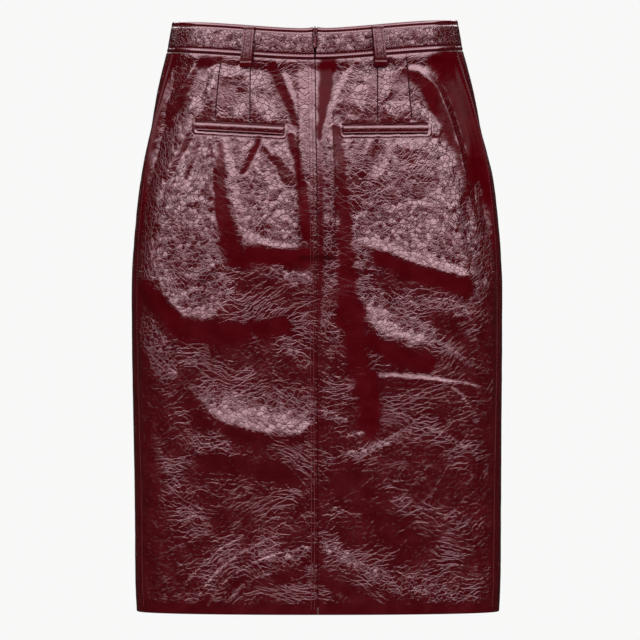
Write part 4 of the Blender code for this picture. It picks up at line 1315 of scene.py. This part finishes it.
def make_floor():
    """A round, level floor."""
    corners = 96
    turn = np.linspace(0, 2 * np.pi, corners + 1)[:-1]
    ring = stacked(np.cos(turn), np.sin(turn), 0 * turn)
    points = np.concatenate([ring * FLOOR_RADIUS * share for share in (0.2, 0.5, 1.0)]) + (0.0, 0.0, FLOOR_Z)
    a = np.arange(2 * corners).reshape(2, corners)
    b = np.roll(a, -1, 1)
    rings = stacked(a, a + corners, b + corners, b).reshape(-1, 4)
    k = np.arange(1, corners // 2 - 1)
    middle = stacked(k, k + 1, corners - 1 - k, corners - k)
    floor = mesh_object("floor", points, [np.concatenate([rings, middle])], closed=False)
    n = Nodes(bpy.data.materials.new("pale_floor"))
    n.shade(Base_Color=(0.38, 0.38, 0.376, 1.0), Roughness=0.9)
    floor.data.materials.append(n.owner)
    floor.visible_glossy = False


# The dome's strengths, and what each part of it covers, as parts of a direction of length 1
DOME_DIM, DOME_BRIGHT = 0.012, 3.35
DOME_EDGE = (0.14, 0.37)  # up: it starts to be bright, and is
FLAG_BESIDE, FLAG_BEHIND, FLAG_HEIGHT = (0.40, 0.65), (-0.10, 0.25), 0.33
OVERHEAD, OVERHEAD_SHARE = (0.55, 0.85), 0.35
DOME_COLOUR = (1.0, 0.965, 0.97, 1)
GROUND_COLOUR = (0.94, 0.94, 0.935, 1)


def make_world():
    """A soft bright dome over a dim horizon, as a studio tent gives. The camera sees a plain pale ground."""
    world = bpy.data.worlds.new("studio")
    n = Nodes(world)
    n.tree.nodes.clear()
    way = n.add("SeparateXYZ", Vector=n.add("TexCoord").outputs["Generated"]).outputs
    # Flags past the skirt's two sides raise the edge of the bright part there.
    beside = n.ramp(n.math("ABSOLUTE", way["X"], 0.0), *FLAG_BESIDE)
    flags = n.times(beside, n.ramp(way["Y"], *FLAG_BEHIND), FLAG_HEIGHT)
    bright = n.ramp(n.less(way["Z"], flags), *DOME_EDGE, DOME_DIM, DOME_BRIGHT)
    # It dims again overhead.
    strength = n.times(bright, n.ramp(way["Z"], *OVERHEAD, 1.0, OVERHEAD_SHARE))
    dome = n.add("Background", Color=DOME_COLOUR, Strength=strength)
    seen = n.add("Background", Color=GROUND_COLOUR)
    both = n.add("MixShader")
    n.put(both.inputs[0], n.add("LightPath").outputs["Is Camera Ray"])
    n.put(both.inputs[1], dome.outputs[0])
    n.put(both.inputs[2], seen.outputs[0])
    n.add("OutputWorld", Surface=both.outputs[0])
    bpy.context.scene.world = world


def colour_handling():
    """Plain colours, with no film-like look."""
    view = bpy.context.scene.view_settings
    view.view_transform, view.look = "Standard", "None"
    view.exposure, view.gamma = 0.0, 1.0


# --- All of it ---

PANEL_STEP = 1.25 * MM
FRONT_STEP = 2.1 * MM


def main():
    make_camera()
    make_world()
    make_floor()
    colour_handling()
    panel_leather = leather_material("crinkled_leather")
    trim_leather = leather_material("trim_leather", depth=0.8, per_metre=290.0)
    thread, metal = thread_material(), metal_material()
    back, front = make_relief(BACK_STROKES, False), make_relief(FRONT_STROKES, True)
    make_panel("back_left", back, PANEL_STEP, panel_leather)
    make_panel("back_right", back, PANEL_STEP, panel_leather)
    make_panel("front", front, FRONT_STEP, panel_leather)
    rows = [side_row_path(sign, back) for sign in (-1, 1)]
    rows += [centre_row_path(back, place) for place in CENTRE_ROWS]
    rows += [frame_row_path(welt, back) for welt in WELTS]
    for piece in ("back_left", "back_right", "front"):
        make_band(piece, trim_leather)
        rows += list(band_row_paths(piece))
    for place, degrees in LOOP_ANGLES.items():
        make_loop(place, degrees, trim_leather)
        rows += list(loop_row_paths(degrees))
    for welt in WELTS:
        make_welt(welt, back, trim_leather)
        rows.append(welt_row_path(welt, back))
    dress(stitches_object("stitches", rows), thread, None)
    make_teeth(metal)
    for name, material in (("zip_tape", tape_material()), ("zip_slider", metal), ("zip_pull", metal)):
        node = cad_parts[name]
        node.data.materials.clear()
        node.data.materials.append(material)


main()
